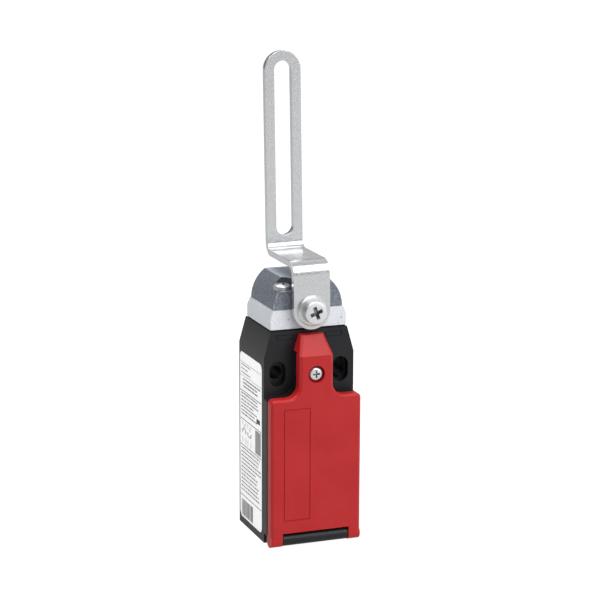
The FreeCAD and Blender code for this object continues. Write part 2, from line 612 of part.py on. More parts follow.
def make_cover():
    plate = cover_plate(0, HINGE_Z, CREASE_Z, COVER_FRONT_Y, COVER_BACK_Y)
    front_edges = [
        edge for edge in plate.Edges
        if edge.BoundBox.YMax < COVER_FRONT_Y + 0.001
        and edge.BoundBox.ZMax > HINGE_Z + 0.001
        and edge.BoundBox.ZMin < CREASE_Z - 0.001
    ]
    plate = plate.makeChamfer(COVER_EDGE_BEVEL, front_edges)
    plate = plate.cut(box(-EAR_INNER_X, EAR_INNER_X, COVER_FRONT_Y - 1, COVER_BACK_Y + 1,
                          HINGE_Z - 1, CUTOUT_TOP_Z))
    tongue = Part.makeLoft([
        tongue_section(NECK_WIDTH / 2, COVER_FRONT_Y, CREASE_Z),
        tongue_section(NECK_WIDTH / 2 - TONGUE_NARROWING, COVER_FRONT_Y + TONGUE_LEAN, TONGUE_TOP_Z),
    ], True, True)
    tongue = tongue.cut(rim_end_room())
    eyes = [
        rod_x(EYE_RADIUS, EAR_INNER_X, HALF_WIDTH, HINGE_Y, HINGE_Z),
        rod_x(EYE_RADIUS, -HALF_WIDTH, -EAR_INNER_X, HINGE_Y, HINGE_Z),
    ]
    body = fuse_all(plate, [tongue] + eyes)

    pocket_back = COVER_FRONT_Y + COVER_PLATE
    body = body.cut(box(-HALF_WIDTH + COVER_LAND, HALF_WIDTH - COVER_LAND, pocket_back, COVER_BACK_Y + 1,
                        CUTOUT_TOP_Z + COVER_LAND, NECK_START_Z - COVER_LAND))
    pin_room = HINGE_PIN_HALF_LENGTH + RUNNING_GAP
    body = body.cut(rod_x(HINGE_PIN_RADIUS + RUNNING_GAP, -pin_room, pin_room, HINGE_Y, HINGE_Z))
    body = body.cut(rod_y(COVER_SCREW_RECESS_RADIUS, 0, COVER_FRONT_Y - 1,
                          COVER_FRONT_Y + COVER_SCREW_RECESS_DEPTH, COVER_SCREW_Z))
    body = body.cut(rod_y(COVER_SCREW_HOLE_RADIUS, 0, COVER_FRONT_Y, COVER_BACK_Y + 1, COVER_SCREW_Z))
    body = body.cut(rod_y(RETAINER_OUTER_RADIUS + SCREW_CLEARANCE, 0,
                          COVER_BACK_Y - RETAINER_THICKNESS, COVER_BACK_Y + 1, COVER_SCREW_Z))
    body = body.cut(outline_groove(FRAME_LEFT_X, FRAME_RIGHT_X, FRAME_BOTTOM_Z, FRAME_TOP_Z, COVER_FRONT_Y))
    return body.removeSplitter()


def rim_end_room():
    """Room behind the neck of the cover, up to just above the end of the rim."""
    half = NECK_WIDTH / 2 + 1
    return box(-half, half, COVER_BACK_Y, EAR_FRONT_Y + 1, CREASE_Z - 1, RIM_TOP_Z + TONGUE_BACK_GAP)


def make_cover_gasket():
    inner = COVER_GASKET_INSET + COVER_GASKET_WIDTH
    low = CUTOUT_TOP_Z + COVER_GASKET_INSET
    ring = cover_plate(COVER_GASKET_INSET, low, CREASE_Z - COVER_GASKET_INSET,
                       COVER_BACK_Y, GASKET_BACK_Y)
    hollow = cover_plate(inner, low + COVER_GASKET_WIDTH, CREASE_Z - inner,
                         COVER_BACK_Y - 1, GASKET_BACK_Y + 1)
    return ring.cut(hollow)


def make_cover_screw():
    tip_y = RIM_FRONT_Y + COVER_SCREW_ENGAGEMENT
    seat_y = COVER_FRONT_Y + COVER_SCREW_RECESS_DEPTH
    form = crossed_screw(COVER_SCREW_HEAD_RADIUS, COVER_SCREW_HEAD_HEIGHT, COVER_SCREW_CORE_RADIUS,
                         tip_y - seat_y)
    return facing_front(form, 0, seat_y - COVER_SCREW_HEAD_HEIGHT, COVER_SCREW_Z)


def make_screw_retainer():
    return tube_y(RETAINER_OUTER_RADIUS, COVER_SCREW_CORE_RADIUS, 0,
                  COVER_BACK_Y - RETAINER_THICKNESS, COVER_BACK_Y, COVER_SCREW_Z)


# Cast head: a base with slanted sides, a dome round the shaft, and two screw pockets
def make_head_casing():
    outline = [
        (-HEAD_HALF_WIDTH, HEAD_BOTTOM_Z), (HEAD_HALF_WIDTH, HEAD_BOTTOM_Z), (HEAD_HALF_WIDTH, HEAD_SLANT_Z),
        (HEAD_SHELF_X, SHAFT_Z), (-HEAD_SHELF_X, SHAFT_Z), (-HEAD_HALF_WIDTH, HEAD_SLANT_Z),
    ]
    base = prism_y(outline, HEAD_FRONT_Y, HEAD_BACK_Y)
    dome = rod_y(DOME_RADIUS, 0, DOME_FRONT_Y, DOME_BACK_Y, SHAFT_Z)
    dome = dome.common(box(-HALF_WIDTH, HALF_WIDTH, HEAD_FRONT_Y, HEAD_BACK_Y, SHAFT_Z, DOME_TOP_Z))
    body = fuse_all(base, [dome])

    room = rod_y(HEAD_CAVITY_RADIUS, 0, HEAD_CAVITY_FRONT_Y, HEAD_CAVITY_BACK_Y, SHAFT_Z)
    room = room.fuse(box(-HEAD_CAVITY_RADIUS, HEAD_CAVITY_RADIUS, HEAD_CAVITY_FRONT_Y,
                         HEAD_CAVITY_BACK_Y, HOUSING_HEIGHT, SHAFT_Z))
    cuts = [room]
    cuts.append(rod_y(SEAL_RADIUS, 0, HEAD_FRONT_Y - 1, SEAL_BACK_Y, SHAFT_Z))
    cuts.append(rod_y(JOURNAL_RADIUS + 2 * RUNNING_GAP, 0, SEAL_BACK_Y, FRONT_BUSH_FRONT_Y, SHAFT_Z))
    cuts.append(rod_y(FRONT_BUSH_RADIUS, 0, FRONT_BUSH_FRONT_Y, HEAD_CAVITY_FRONT_Y, SHAFT_Z))
    cuts.append(rod_y(REAR_BUSH_RADIUS, 0, HEAD_CAVITY_BACK_Y, SHAFT_END_Y + 2 * SCREW_CLEARANCE, SHAFT_Z))
    pocket = HEAD_SCREW_POCKET_RADIUS
    for x, y in HEAD_SCREW_PLACES:
        cuts.append(bar_z(HEAD_SCREW_SHANK_RADIUS + SCREW_CLEARANCE, x, y, HOUSING_HEIGHT, DOME_TOP_Z))
        cuts.append(rod_z(pocket, x, y, HEAD_SCREW_LEDGE_Z, DOME_TOP_Z + 1))
        y0, y1 = (HEAD_FRONT_Y - 1, y) if y < PLUNGER_Y else (y, HEAD_BACK_Y + 1)
        cuts.append(box(x - pocket, x + pocket, y0, y1, HEAD_SCREW_LEDGE_Z, DOME_TOP_Z + 1))
    cuts.append(head_gasket_form())
    for tool in cuts:
        body = body.cut(tool)
    return body.removeSplitter()


def head_gasket_form():
    reach = HEAD_GASKET_INSET
    outer = box(-HEAD_HALF_WIDTH + reach, HEAD_HALF_WIDTH - reach, HEAD_FRONT_Y + reach, HEAD_BACK_Y - reach,
                HOUSING_HEIGHT, HOUSING_HEIGHT + HEAD_GASKET_THICKNESS)
    reach = HEAD_GASKET_INSET + HEAD_GASKET_WIDTH
    inner = box(-HEAD_HALF_WIDTH + reach, HEAD_HALF_WIDTH - reach, HEAD_FRONT_Y + reach, HEAD_BACK_Y - reach,
                HOUSING_HEIGHT, HOUSING_HEIGHT + HEAD_GASKET_THICKNESS)
    return outer.cut(inner)


def make_head_screws():
    length = HEAD_SCREW_LEDGE_Z - HEAD_SCREW_TIP_Z
    screws = []
    for x, y in HEAD_SCREW_PLACES:
        form = crossed_screw(HEAD_SCREW_HEAD_RADIUS, HEAD_SCREW_HEAD_HEIGHT, HEAD_SCREW_SHANK_RADIUS, length)
        form.translate(Vector(x, y, HEAD_SCREW_LEDGE_Z + HEAD_SCREW_HEAD_HEIGHT))
        screws.append(form)
    return Part.Compound(screws)


# Bearings and seals
def make_shaft_bushes():
    front = tube_y(FRONT_BUSH_RADIUS, JOURNAL_RADIUS + RUNNING_GAP, 0,
                   FRONT_BUSH_FRONT_Y, HEAD_CAVITY_FRONT_Y, SHAFT_Z)
    rear = tube_y(REAR_BUSH_RADIUS, CAM_SEAT_RADIUS + RUNNING_GAP, 0, HEAD_CAVITY_BACK_Y, SHAFT_END_Y, SHAFT_Z)
    return Part.Compound([front, rear])


def make_shaft_seal():
    return tube_y(SEAL_RADIUS, JOURNAL_RADIUS + RUNNING_GAP, 0, SEAL_FRONT_Y, SEAL_BACK_Y, SHAFT_Z)


def make_plunger_guide():
    inner = PLUNGER_RADIUS + RUNNING_GAP
    sleeve = tube_z(GUIDE_RADIUS, inner, 0, PLUNGER_Y, GUIDE_BOTTOM_Z, HOUSING_HEIGHT)
    flange = tube_z(GUIDE_FLANGE_RADIUS, inner, 0, PLUNGER_Y,
                    HOUSING_HEIGHT - GUIDE_FLANGE_HEIGHT, HOUSING_HEIGHT)
    return sleeve.fuse(flange).removeSplitter()


def make_plunger_seal():
    inner = PLUNGER_RADIUS + PLUNGER_SEAL_GAP
    return tube_z(inner + PLUNGER_SEAL_WALL, inner, 0, PLUNGER_Y,
                  HOUSING_HEIGHT, HOUSING_HEIGHT + PLUNGER_SEAL_HEIGHT)


# Shaft and what turns with it
def make_shaft():
    spigot = rod_y(SPIGOT_RADIUS, 0, LEG_FRONT_Y + SPIGOT_SHORT, SHAFT_COLLAR_BACK_Y, SHAFT_Z)
    collar = rod_y(SHAFT_COLLAR_RADIUS, 0, LEG_BACK_Y, SHAFT_COLLAR_BACK_Y, SHAFT_Z)
    journal = rod_y(JOURNAL_RADIUS, 0, SHAFT_COLLAR_BACK_Y, JOURNAL_BACK_Y, SHAFT_Z)
    seat_collar = rod_y(SEAT_COLLAR_RADIUS, 0, JOURNAL_BACK_Y, CAM_FRONT_Y, SHAFT_Z)
    seat = rod_y(CAM_SEAT_RADIUS, 0, CAM_FRONT_Y, SHAFT_END_Y, SHAFT_Z)
    body = fuse_all(journal, [spigot, collar, seat_collar, seat])
    flat = box(-CAM_SEAT_RADIUS, CAM_SEAT_RADIUS, CAM_FRONT_Y, CAM_BACK_Y,
               SHAFT_Z + CAM_SEAT_FLAT, SHAFT_Z + CAM_SEAT_RADIUS)
    groove = tube_y(CAM_SEAT_RADIUS + 1, CAM_SEAT_RADIUS - CIRCLIP_GROOVE_DEPTH, 0,
                    CAM_BACK_Y, CAM_BACK_Y + CIRCLIP_THICKNESS, SHAFT_Z)
    thread = rod_y(LEVER_SCREW_CORE_RADIUS, 0, LEG_FRONT_Y - 1, LEG_FRONT_Y + LEVER_SCREW_BORE_DEPTH, SHAFT_Z)
    return body.cut(flat).cut(groove).cut(thread).removeSplitter()


def cam_radius(angle):
    """Radius at an angle from straight down: the least there, and more to both sides."""
    return min(CAM_SMALL_RADIUS + CAM_RISE_PER_RADIAN * abs(angle), CAM_LARGE_RADIUS)


def cam_point(angle):
    radius = cam_radius(angle)
    return Vector(radius * math.sin(angle), CAM_FRONT_Y, SHAFT_Z - radius * math.cos(angle))


def make_cam():
    turn = math.radians(CAM_TURN_DEGREES)
    flanks = []
    for side in (-1, 1):
        points = [cam_point(side * turn * step / CAM_CURVE_STEPS) for step in range(CAM_CURVE_STEPS + 1)]
        flank = Part.BSplineCurve()
        flank.interpolate(points)
        flanks.append(flank.toShape())
    top = Part.Arc(cam_point(-turn), Vector(0, CAM_FRONT_Y, SHAFT_Z + CAM_LARGE_RADIUS), cam_point(turn))
    outline = Part.Wire(Part.__sortEdges__(flanks + [top.toShape()]))
    disc = Part.Face(outline).extrude(Vector(0, CAM_WIDTH, 0))
    hole = rod_y(CAM_SEAT_RADIUS, 0, CAM_FRONT_Y - 1, CAM_BACK_Y + 1, SHAFT_Z)
    flat = box(-CAM_SEAT_RADIUS, CAM_SEAT_RADIUS, CAM_FRONT_Y - 1, CAM_BACK_Y + 1,
               SHAFT_Z + CAM_SEAT_FLAT, SHAFT_Z + CAM_SEAT_RADIUS)
    return disc.cut(hole.cut(flat)).removeSplitter()


def make_circlip():
    ring = tube_y(CIRCLIP_OUTER_RADIUS, CAM_SEAT_RADIUS - CIRCLIP_GROOVE_DEPTH, 0,
                  CAM_BACK_Y, CAM_BACK_Y + CIRCLIP_THICKNESS, SHAFT_Z)
    mouth = CAM_SEAT_RADIUS - CIRCLIP_GROOVE_DEPTH
    gap = box(-mouth, mouth, CAM_BACK_Y - 1, CAM_BACK_Y + 1, SHAFT_Z, SHAFT_Z + CIRCLIP_OUTER_RADIUS + 1)
    return ring.cut(gap)


def make_lever_washer():
    washer = tube_y(WASHER_RADIUS, LEVER_SCREW_CORE_RADIUS + WASHER_HOLE_CLEARANCE, 0,
                    WASHER_FRONT_Y, LEG_FRONT_Y, SHAFT_Z)
    rim = [
        edge for edge in washer.Edges
        if edge.BoundBox.YMax < WASHER_FRONT_Y + 0.001 and edge.BoundBox.XMax > WASHER_RADIUS - 0.01
    ]
    return washer.makeChamfer(WASHER_BEVEL, rim)


def make_lever_screw():
    form = crossed_screw(LEVER_SCREW_HEAD_RADIUS, LEVER_SCREW_HEAD_HEIGHT, LEVER_SCREW_CORE_RADIUS,
                         LEVER_SCREW_LENGTH)
    form.rotate(Vector(0, 0, 0), ALONG_Z, LEVER_SCREW_TURN_DEGREES)
    return facing_front(form, 0, LEVER_SCREW_FRONT_Y, SHAFT_Z)


# Lever: one strip, bent twice, with a long slot for the length setting
def lever_profile():
    inner = BEND_INNER_RADIUS
    outer = BEND_INNER_RADIUS + LEVER_THICKNESS
    s_in = inner * (1 - math.sqrt(0.5))
    s_out = outer * (1 - math.sqrt(0.5))
    top = JOGGLE_TOP_Z
    under = JOGGLE_TOP_Z - LEVER_THICKNESS
    low = SHAFT_Z - LEVER_WIDTH / 2
    high = SHAFT_Z + BLADE_END_ABOVE_SHAFT + LEVER_WIDTH / 2

    def at(y, z):
        return Vector(-LEVER_WIDTH / 2, y, z)

    curves = [
        Part.LineSegment(at(LEG_FRONT_Y, low), at(LEG_FRONT_Y, top - outer)),
        Part.Arc(at(LEG_FRONT_Y, top - outer), at(LEG_FRONT_Y + s_out, top - s_out), at(LEG_FRONT_Y + outer, top)),
        Part.LineSegment(at(LEG_FRONT_Y + outer, top), at(BLADE_FRONT_Y - inner, top)),
        Part.Arc(at(BLADE_FRONT_Y - inner, top), at(BLADE_FRONT_Y - s_in, top + s_in),
                 at(BLADE_FRONT_Y, top + inner)),
        Part.LineSegment(at(BLADE_FRONT_Y, top + inner), at(BLADE_FRONT_Y, high)),
        Part.LineSegment(at(BLADE_FRONT_Y, high), at(BLADE_BACK_Y, high)),
        Part.LineSegment(at(BLADE_BACK_Y, high), at(BLADE_BACK_Y, under + outer)),
        Part.Arc(at(BLADE_BACK_Y, under + outer), at(BLADE_BACK_Y - s_out, under + s_out),
                 at(BLADE_BACK_Y - outer, under)),
        Part.LineSegment(at(BLADE_BACK_Y - outer, under), at(LEG_BACK_Y + inner, under)),
        Part.Arc(at(LEG_BACK_Y + inner, under), at(LEG_BACK_Y + s_in, under - s_in),
                 at(LEG_BACK_Y, under - inner)),
        Part.LineSegment(at(LEG_BACK_Y, under - inner), at(LEG_BACK_Y, low)),
        Part.LineSegment(at(LEG_BACK_Y, low), at(LEG_FRONT_Y, low)),
    ]
    return Part.Face(Part.Wire([curve.toShape() for curve in curves]))


def make_lever():
    strip = lever_profile().extrude(Vector(LEVER_WIDTH, 0, 0))
    height = BLADE_END_ABOVE_SHAFT + LEVER_WIDTH
    outline = oblong_y(0, SHAFT_Z + BLADE_END_ABOVE_SHAFT / 2, LEVER_WIDTH, height,
                       LEG_FRONT_Y - 1, BLADE_BACK_Y + 1)
    lever = strip.common(outline)
    slot_length = BLADE_END_ABOVE_SHAFT - SLOT_START_ABOVE_SHAFT + SLOT_WIDTH
    slot_middle = SHAFT_Z + (BLADE_END_ABOVE_SHAFT + SLOT_START_ABOVE_SHAFT) / 2
    lever = lever.cut(oblong_y(0, slot_middle, SLOT_WIDTH, slot_length, BLADE_FRONT_Y - 1, BLADE_BACK_Y + 1))
    lever = lever.cut(rod_y(SPIGOT_RADIUS + RUNNING_GAP, 0, LEG_FRONT_Y - 1, LEG_BACK_Y + 1, SHAFT_Z))
    lever = lever.removeSplitter()
    lever.rotate(Vector(0, 0, SHAFT_Z), ALONG_Y, LEVER_LEAN_DEGREES)
    return lever


# Plunger and contact carrier, which move down together
def make_head_plunger():
    straight = rod_z(PLUNGER_RADIUS, 0, PLUNGER_Y, PLUNGER_BOTTOM_Z, PLUNGER_TIP_Z - PLUNGER_RADIUS)
    ball = Part.makeSphere(PLUNGER_RADIUS, Vector(0, PLUNGER_Y, PLUNGER_TIP_Z - PLUNGER_RADIUS))
    return straight.fuse(ball).removeSplitter()


def make_contact_carrier():
    y0 = PLUNGER_Y - CARRIER_HALF_DEPTH
    y1 = PLUNGER_Y + CARRIER_HALF_DEPTH
    block = box(-CARRIER_HALF_WIDTH, CARRIER_HALF_WIDTH, y0, y1, CARRIER_BOTTOM_Z, CARRIER_TOP_Z)
    stems = [
        rod_z(STEM_RADIUS, 0, PLUNGER_Y, STEM_BOTTOM_Z, CARRIER_BOTTOM_Z),
        rod_z(STEM_RADIUS, 0, PLUNGER_Y, CARRIER_TOP_Z, PLUNGER_BOTTOM_Z),
    ]
    body = fuse_all(block, stems)
    y0 = PLUNGER_Y - WINDOW_HALF_DEPTH
    y1 = PLUNGER_Y + WINDOW_HALF_DEPTH
    half = CARRIER_HALF_WIDTH + 1
    upper = box(-half, half, y0, y1, WINDOW_WEB_TOP_Z, OPENING_BRIDGE_TOP_Z + BRIDGE_SEAT_GAP)
    lower = box(-half, half, y0, y1, CLOSING_BRIDGE_BOTTOM_Z - BRIDGE_SEAT_GAP, WINDOW_WEB_BOTTOM_Z)
    return body.cut(upper).cut(lower)


def bridge(z0, button_z0):
    """Contact strip with a button near each end."""
    y0 = PLUNGER_Y - ARM_HALF_DEPTH
    y1 = PLUNGER_Y + ARM_HALF_DEPTH
    strip = box(-BRIDGE_HALF_LENGTH, BRIDGE_HALF_LENGTH, y0, y1, z0, z0 + BRIDGE_THICKNESS)
    buttons = [
        bar_z(BUTTON_RADIUS, side * BUTTON_X, PLUNGER_Y, button_z0, button_z0 + BUTTON_HEIGHT)
        for side in (-1, 1)
    ]
    return fuse_all(strip, buttons)


def make_opening_bridge():
    return bridge(OPENING_BRIDGE_TOP_Z - BRIDGE_THICKNESS, OPENING_BRIDGE_TOP_Z)


def make_closing_bridge():
    return bridge(CLOSING_BRIDGE_BOTTOM_Z, CLOSING_BRIDGE_BOTTOM_Z - BUTTON_HEIGHT)


def make_contact_springs():
    rooms = [
        (CLOSING_SPRING_FLOOR_Z, WINDOW_WEB_BOTTOM_Z),
        (WINDOW_WEB_TOP_Z, OPENING_SPRING_TOP_Z),
    ]
    springs = [
        coil(CONTACT_SPRING_RADIUS, CONTACT_SPRING_WIRE, CONTACT_SPRING_PITCH, z0, z1, 0, PLUNGER_Y)
        for z0, z1 in rooms
    ]
    return Part.Compound(springs)


def make_return_spring():
    return coil(RETURN_SPRING_RADIUS, RETURN_SPRING_WIRE, RETURN_SPRING_PITCH,
                SPRING_FLOOR_Z, STEM_BOTTOM_Z, 0, PLUNGER_Y)


# Contact block: the moulded base that holds the terminals and guides the carrier
def terminal_places():
    """Side, lowest tab height and screw height of the four terminals."""
    high = OPENING_ARM_Z
    low = CLOSING_ARM_TOP_Z - TAB_HEIGHT
    middle = TAB_HEIGHT / 2 + TERMINAL_THICKNESS / 2
    places = []
    for side in (-1, 1):
        places.append((side, high, high + middle))
        places.append((side, low, low + TAB_HEIGHT - middle))
    return places


def side_box(side, x0, x1, y0, y1, z0, z1):
    low, high = sorted((side * x0, side * x1))
    return box(low, high, y0, y1, z0, z1)


def make_contact_block():
    plate = box(-BLOCK_HALF_WIDTH, BLOCK_HALF_WIDTH, BLOCK_PLATE_FRONT_Y, CAVITY_BACK_Y,
                BLOCK_BOTTOM_Z, BLOCK_TOP_Z)
    bridge_half = GUIDE_BRIDGE_HALF_WIDTH
    parts = [
        box(-bridge_half, bridge_half, GUIDE_BRIDGE_FRONT_Y, BLOCK_PLATE_FRONT_Y,
            UPPER_BRIDGE_BOTTOM_Z, UPPER_BRIDGE_TOP_Z),
        box(-bridge_half, bridge_half, GUIDE_BRIDGE_FRONT_Y, BLOCK_PLATE_FRONT_Y,
            BLOCK_BOTTOM_Z, LOWER_BRIDGE_TOP_Z),
    ]
    for side in (-1, 1):
        parts.append(side_box(side, bridge_half, BLOCK_HALF_WIDTH, TAB_BACK_Y, BLOCK_PLATE_FRONT_Y,
                              OPENING_ARM_Z + TERMINAL_THICKNESS, BLOCK_TOP_Z))
        parts.append(side_box(side, bridge_half, BLOCK_HALF_WIDTH, TAB_BACK_Y, BLOCK_PLATE_FRONT_Y,
                              CLOSING_ARM_TOP_Z - TAB_HEIGHT, CLOSING_ARM_TOP_Z - TERMINAL_THICKNESS))
        parts.append(side_box(side, PARTITION_INNER_X, BLOCK_HALF_WIDTH, TAB_FRONT_Y, BLOCK_PLATE_FRONT_Y,
                              PARTITION_BOTTOM_Z, PARTITION_TOP_Z))
    body = fuse_all(plate, parts)
    bore = STEM_RADIUS + RUNNING_GAP
    cuts = [
        rod_z(bore, 0, PLUNGER_Y, UPPER_BRIDGE_BOTTOM_Z - 1, UPPER_BRIDGE_TOP_Z + 1),
        rod_z(bore, 0, PLUNGER_Y, SPRING_FLOOR_Z, LOWER_BRIDGE_TOP_Z + 1),
    ]
    for side, low, screw_z in terminal_places():
        cuts.append(bar_y(TERMINAL_SCREW_RADIUS + SCREW_CLEARANCE, side * TAB_MIDDLE_X, TAB_FRONT_Y - 1,
                          TAB_FRONT_Y + TERMINAL_SCREW_LENGTH, screw_z))
    for x, z in BLOCK_SCREW_PLACES:
        cuts.append(bar_y(BLOCK_SCREW_RADIUS + SCREW_CLEARANCE, x, BLOCK_PLATE_FRONT_Y - 1, CAVITY_BACK_Y + 1, z))
    for tool in cuts:
        body = body.cut(tool)
    return body.removeSplitter()


def make_terminals():
    y0 = PLUNGER_Y - ARM_HALF_DEPTH
    y1 = PLUNGER_Y + ARM_HALF_DEPTH
    solids = []
    for side, low, screw_z in terminal_places():
        upper = low == OPENING_ARM_Z
        arm_z = low if upper else low + TAB_HEIGHT - TERMINAL_THICKNESS
        button_z = OPENING_CONTACT_Z if upper else CLOSING_ARM_TOP_Z
        arm = side_box(side, ARM_INNER_X, TAB_OUTER_X, y0, y1, arm_z, arm_z + TERMINAL_THICKNESS)
        foot = side_box(side, TAB_INNER_X, TAB_OUTER_X, TAB_FRONT_Y, y1, arm_z, arm_z + TERMINAL_THICKNESS)
        tab = side_box(side, TAB_INNER_X, TAB_OUTER_X, TAB_FRONT_Y, TAB_BACK_Y, low, low + TAB_HEIGHT)
        button = bar_z(BUTTON_RADIUS, side * BUTTON_X, PLUNGER_Y, button_z, button_z + BUTTON_HEIGHT)
        body = fuse_all(arm, [foot, tab, button])
        hole = bar_y(TERMINAL_SCREW_RADIUS + SCREW_CLEARANCE, side * TAB_MIDDLE_X,
                     TAB_FRONT_Y - 1, TAB_BACK_Y + 1, screw_z)
        solids.append(body.cut(hole))
    return Part.Compound(solids)


def make_wire_clamps():
    half = CLAMP_WIDTH / 2
    y0 = TAB_FRONT_Y - CLAMP_THICKNESS
    clamps = []
    for side, low, screw_z in terminal_places():
        x = side * TAB_MIDDLE_X
        plate = box(x - half, x + half, y0, TAB_FRONT_Y, screw_z - half, screw_z + half)
        hole = bar_y(TERMINAL_SCREW_RADIUS + SCREW_CLEARANCE, x, y0 - 1, TAB_FRONT_Y + 1, screw_z)
        clamps.append(plate.cut(hole))
    return Part.Compound(clamps)


def make_terminal_screws():
    seat_y = TAB_FRONT_Y - CLAMP_THICKNESS
    screws = []
    for side, low, screw_z in terminal_places():
        form = plain_screw(TERMINAL_SCREW_HEAD_RADIUS, TERMINAL_SCREW_HEAD_HEIGHT, TERMINAL_SCREW_RADIUS,
                           TERMINAL_SCREW_LENGTH)
        screws.append(facing_front(form, side * TAB_MIDDLE_X, seat_y - TERMINAL_SCREW_HEAD_HEIGHT, screw_z))
    return Part.Compound(screws)


def make_block_screws():
    length = CAVITY_BACK_Y + BLOCK_SCREW_BITE - BLOCK_PLATE_FRONT_Y
    screws = []
    for x, z in BLOCK_SCREW_PLACES:
        form = plain_screw(BLOCK_SCREW_HEAD_RADIUS, BLOCK_SCREW_HEAD_HEIGHT, BLOCK_SCREW_RADIUS, length)
        screws.append(facing_front(form, x, BLOCK_PLATE_FRONT_Y - BLOCK_SCREW_HEAD_HEIGHT, z))
    return Part.Compound(screws)


def main():
    os.makedirs("parts", exist_ok=True)
    write("housing", make_housing())
    write("rating_label", label_form())
    write("cover_screw_insert", make_cover_screw_insert())
    write("hinge_pin", make_hinge_pin())
    write("cover", make_cover())
    write("cover_gasket", make_cover_gasket())
    write("cover_screw", make_cover_screw())
    write("screw_retainer", make_screw_retainer())
    write("head_casing", make_head_casing())
    write("head_gasket", head_gasket_form())
    write("head_screws", make_head_screws())
    write("shaft_bushes", make_shaft_bushes())
    write("shaft_seal", make_shaft_seal())
    write("plunger_guide", make_plunger_guide())
    write("plunger_seal", make_plunger_seal())
    write("shaft", make_shaft())
    write("cam", make_cam())
    write("circlip", make_circlip())
    write("lever", make_lever())
    write("lever_washer", make_lever_washer())
    write("lever_screw", make_lever_screw())
    write("head_plunger", make_head_plunger())
    write("contact_carrier", make_contact_carrier())
    write("opening_bridge", make_opening_bridge())
    write("closing_bridge", make_closing_bridge())
    write("contact_springs", make_contact_springs())
    write("return_spring", make_return_spring())
    write("contact_block", make_contact_block())
    write("terminals", make_terminals())
    write("wire_clamps", make_wire_clamps())
    write("terminal_screws", make_terminal_screws())
    write("block_screws", make_block_screws())


main()
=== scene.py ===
# %% [markdown]
# A limit switch, dressed for its picture. The construction is already done: every piece of the switch
# exists at its real size, and this lesson gives each one its finish. We start by loading those pieces,
# with a helper that measures the box round one of them.

# %% Load the construction
import json
import math
import random

import bmesh
import bpy
from mathutils import Euler, Matrix, Vector


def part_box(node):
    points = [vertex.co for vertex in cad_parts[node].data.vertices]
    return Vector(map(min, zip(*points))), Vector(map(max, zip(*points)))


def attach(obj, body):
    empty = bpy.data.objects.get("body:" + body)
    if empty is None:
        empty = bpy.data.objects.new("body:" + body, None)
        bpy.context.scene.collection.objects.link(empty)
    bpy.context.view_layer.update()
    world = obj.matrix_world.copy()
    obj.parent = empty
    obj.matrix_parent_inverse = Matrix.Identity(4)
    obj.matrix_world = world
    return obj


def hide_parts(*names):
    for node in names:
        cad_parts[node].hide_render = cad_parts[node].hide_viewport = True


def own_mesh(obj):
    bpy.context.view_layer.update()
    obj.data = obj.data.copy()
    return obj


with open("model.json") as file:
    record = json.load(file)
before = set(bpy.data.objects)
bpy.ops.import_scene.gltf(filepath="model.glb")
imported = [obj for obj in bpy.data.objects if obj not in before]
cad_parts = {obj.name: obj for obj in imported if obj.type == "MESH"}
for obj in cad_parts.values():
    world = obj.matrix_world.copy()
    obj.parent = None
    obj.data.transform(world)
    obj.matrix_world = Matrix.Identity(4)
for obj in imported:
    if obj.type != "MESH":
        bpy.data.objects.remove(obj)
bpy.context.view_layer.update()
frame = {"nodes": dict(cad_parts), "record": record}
MM = 0.001
print("pieces loaded:", len(frame["nodes"]))


def spot(x, y, z):
    """A point given in millimetres, in the units of the scene."""
    return Vector((x, y, z)) * MM


# %% [markdown]
# The photograph was taken from the front left and a little above, with a long lens from about 65 cm.
# A camera could be set by eye, but a place and three turns that were fitted to the corners of the body put
# the edges where the picture has them. Sensor width and lens length together give the field of view, so
# the lens is worked out from the focal length in pixels of a picture 600 pixels wide.

# %% Camera
PICTURE_WIDTH = 600
FOCAL_PIXELS = 2044.6
SENSOR_WIDTH = 36.0
CAMERA_PLACE = spot(-221.0, -588.9, 217.9)
CAMERA_AZIMUTH = math.radians(-20.58)
CAMERA_ELEVATION = math.radians(12.71)
CAMERA_ROLL = math.radians(0.22)
CLIP_NEAR = 0.05
CLIP_FAR = 10.0


def make_camera():
    data = bpy.data.cameras.new("camera")
    data.sensor_width = SENSOR_WIDTH
    data.lens = SENSOR_WIDTH * FOCAL_PIXELS / PICTURE_WIDTH
    data.clip_start = CLIP_NEAR
    data.clip_end = CLIP_FAR
    camera = bpy.data.objects.new("camera", data)
    bpy.context.scene.collection.objects.link(camera)
    backwards = Vector((
        math.sin(CAMERA_AZIMUTH) * math.cos(CAMERA_ELEVATION),
        -math.cos(CAMERA_AZIMUTH) * math.cos(CAMERA_ELEVATION),
        math.sin(CAMERA_ELEVATION),
    ))
    turn = (-backwards).to_track_quat("-Z", "Y").to_matrix()
    roll = Matrix.Rotation(CAMERA_ROLL, 3, "Z")
    camera.matrix_world = Matrix.Translation(CAMERA_PLACE) @ (turn @ roll).to_4x4()
    bpy.context.scene.camera = camera
    return camera


camera = make_camera()
print("lens in millimetres:", round(camera.data.lens, 1))

# %% [markdown]
# A catalogue picture like this one is taken on a light table in a pale room. A panorama could light it
# too, but gradients over the direction are enough for a plain room and need no picture. The room on the
# camera's side is darker than the back, which keeps the front faces deep, so the world grows brighter from
# front to back. The left is held back by a grey flag, for the side faces are the darker ones in the
# picture, and a dim gap between walls and ceiling draws the dark lines that bent sheet metal shows. Each
# gradient is four numbers: where it starts and ends along one direction, and how bright it is there. For
# the camera the room is pure white, as if masks stood just outside the picture.

# %% Room
ROOM_DEPTH = (-0.75, 0.60, 0.24, 0.66)
ROOM_FLAG = (-0.40, 0.12, 0.24, 1.0)
ROOM_GAP_START = (0.24, 0.32, 1.0, 0.30)
ROOM_GAP_END = (0.46, 0.58, 0.30, 1.0)
WHITE = (1.0, 1.0, 1.0, 1.0)


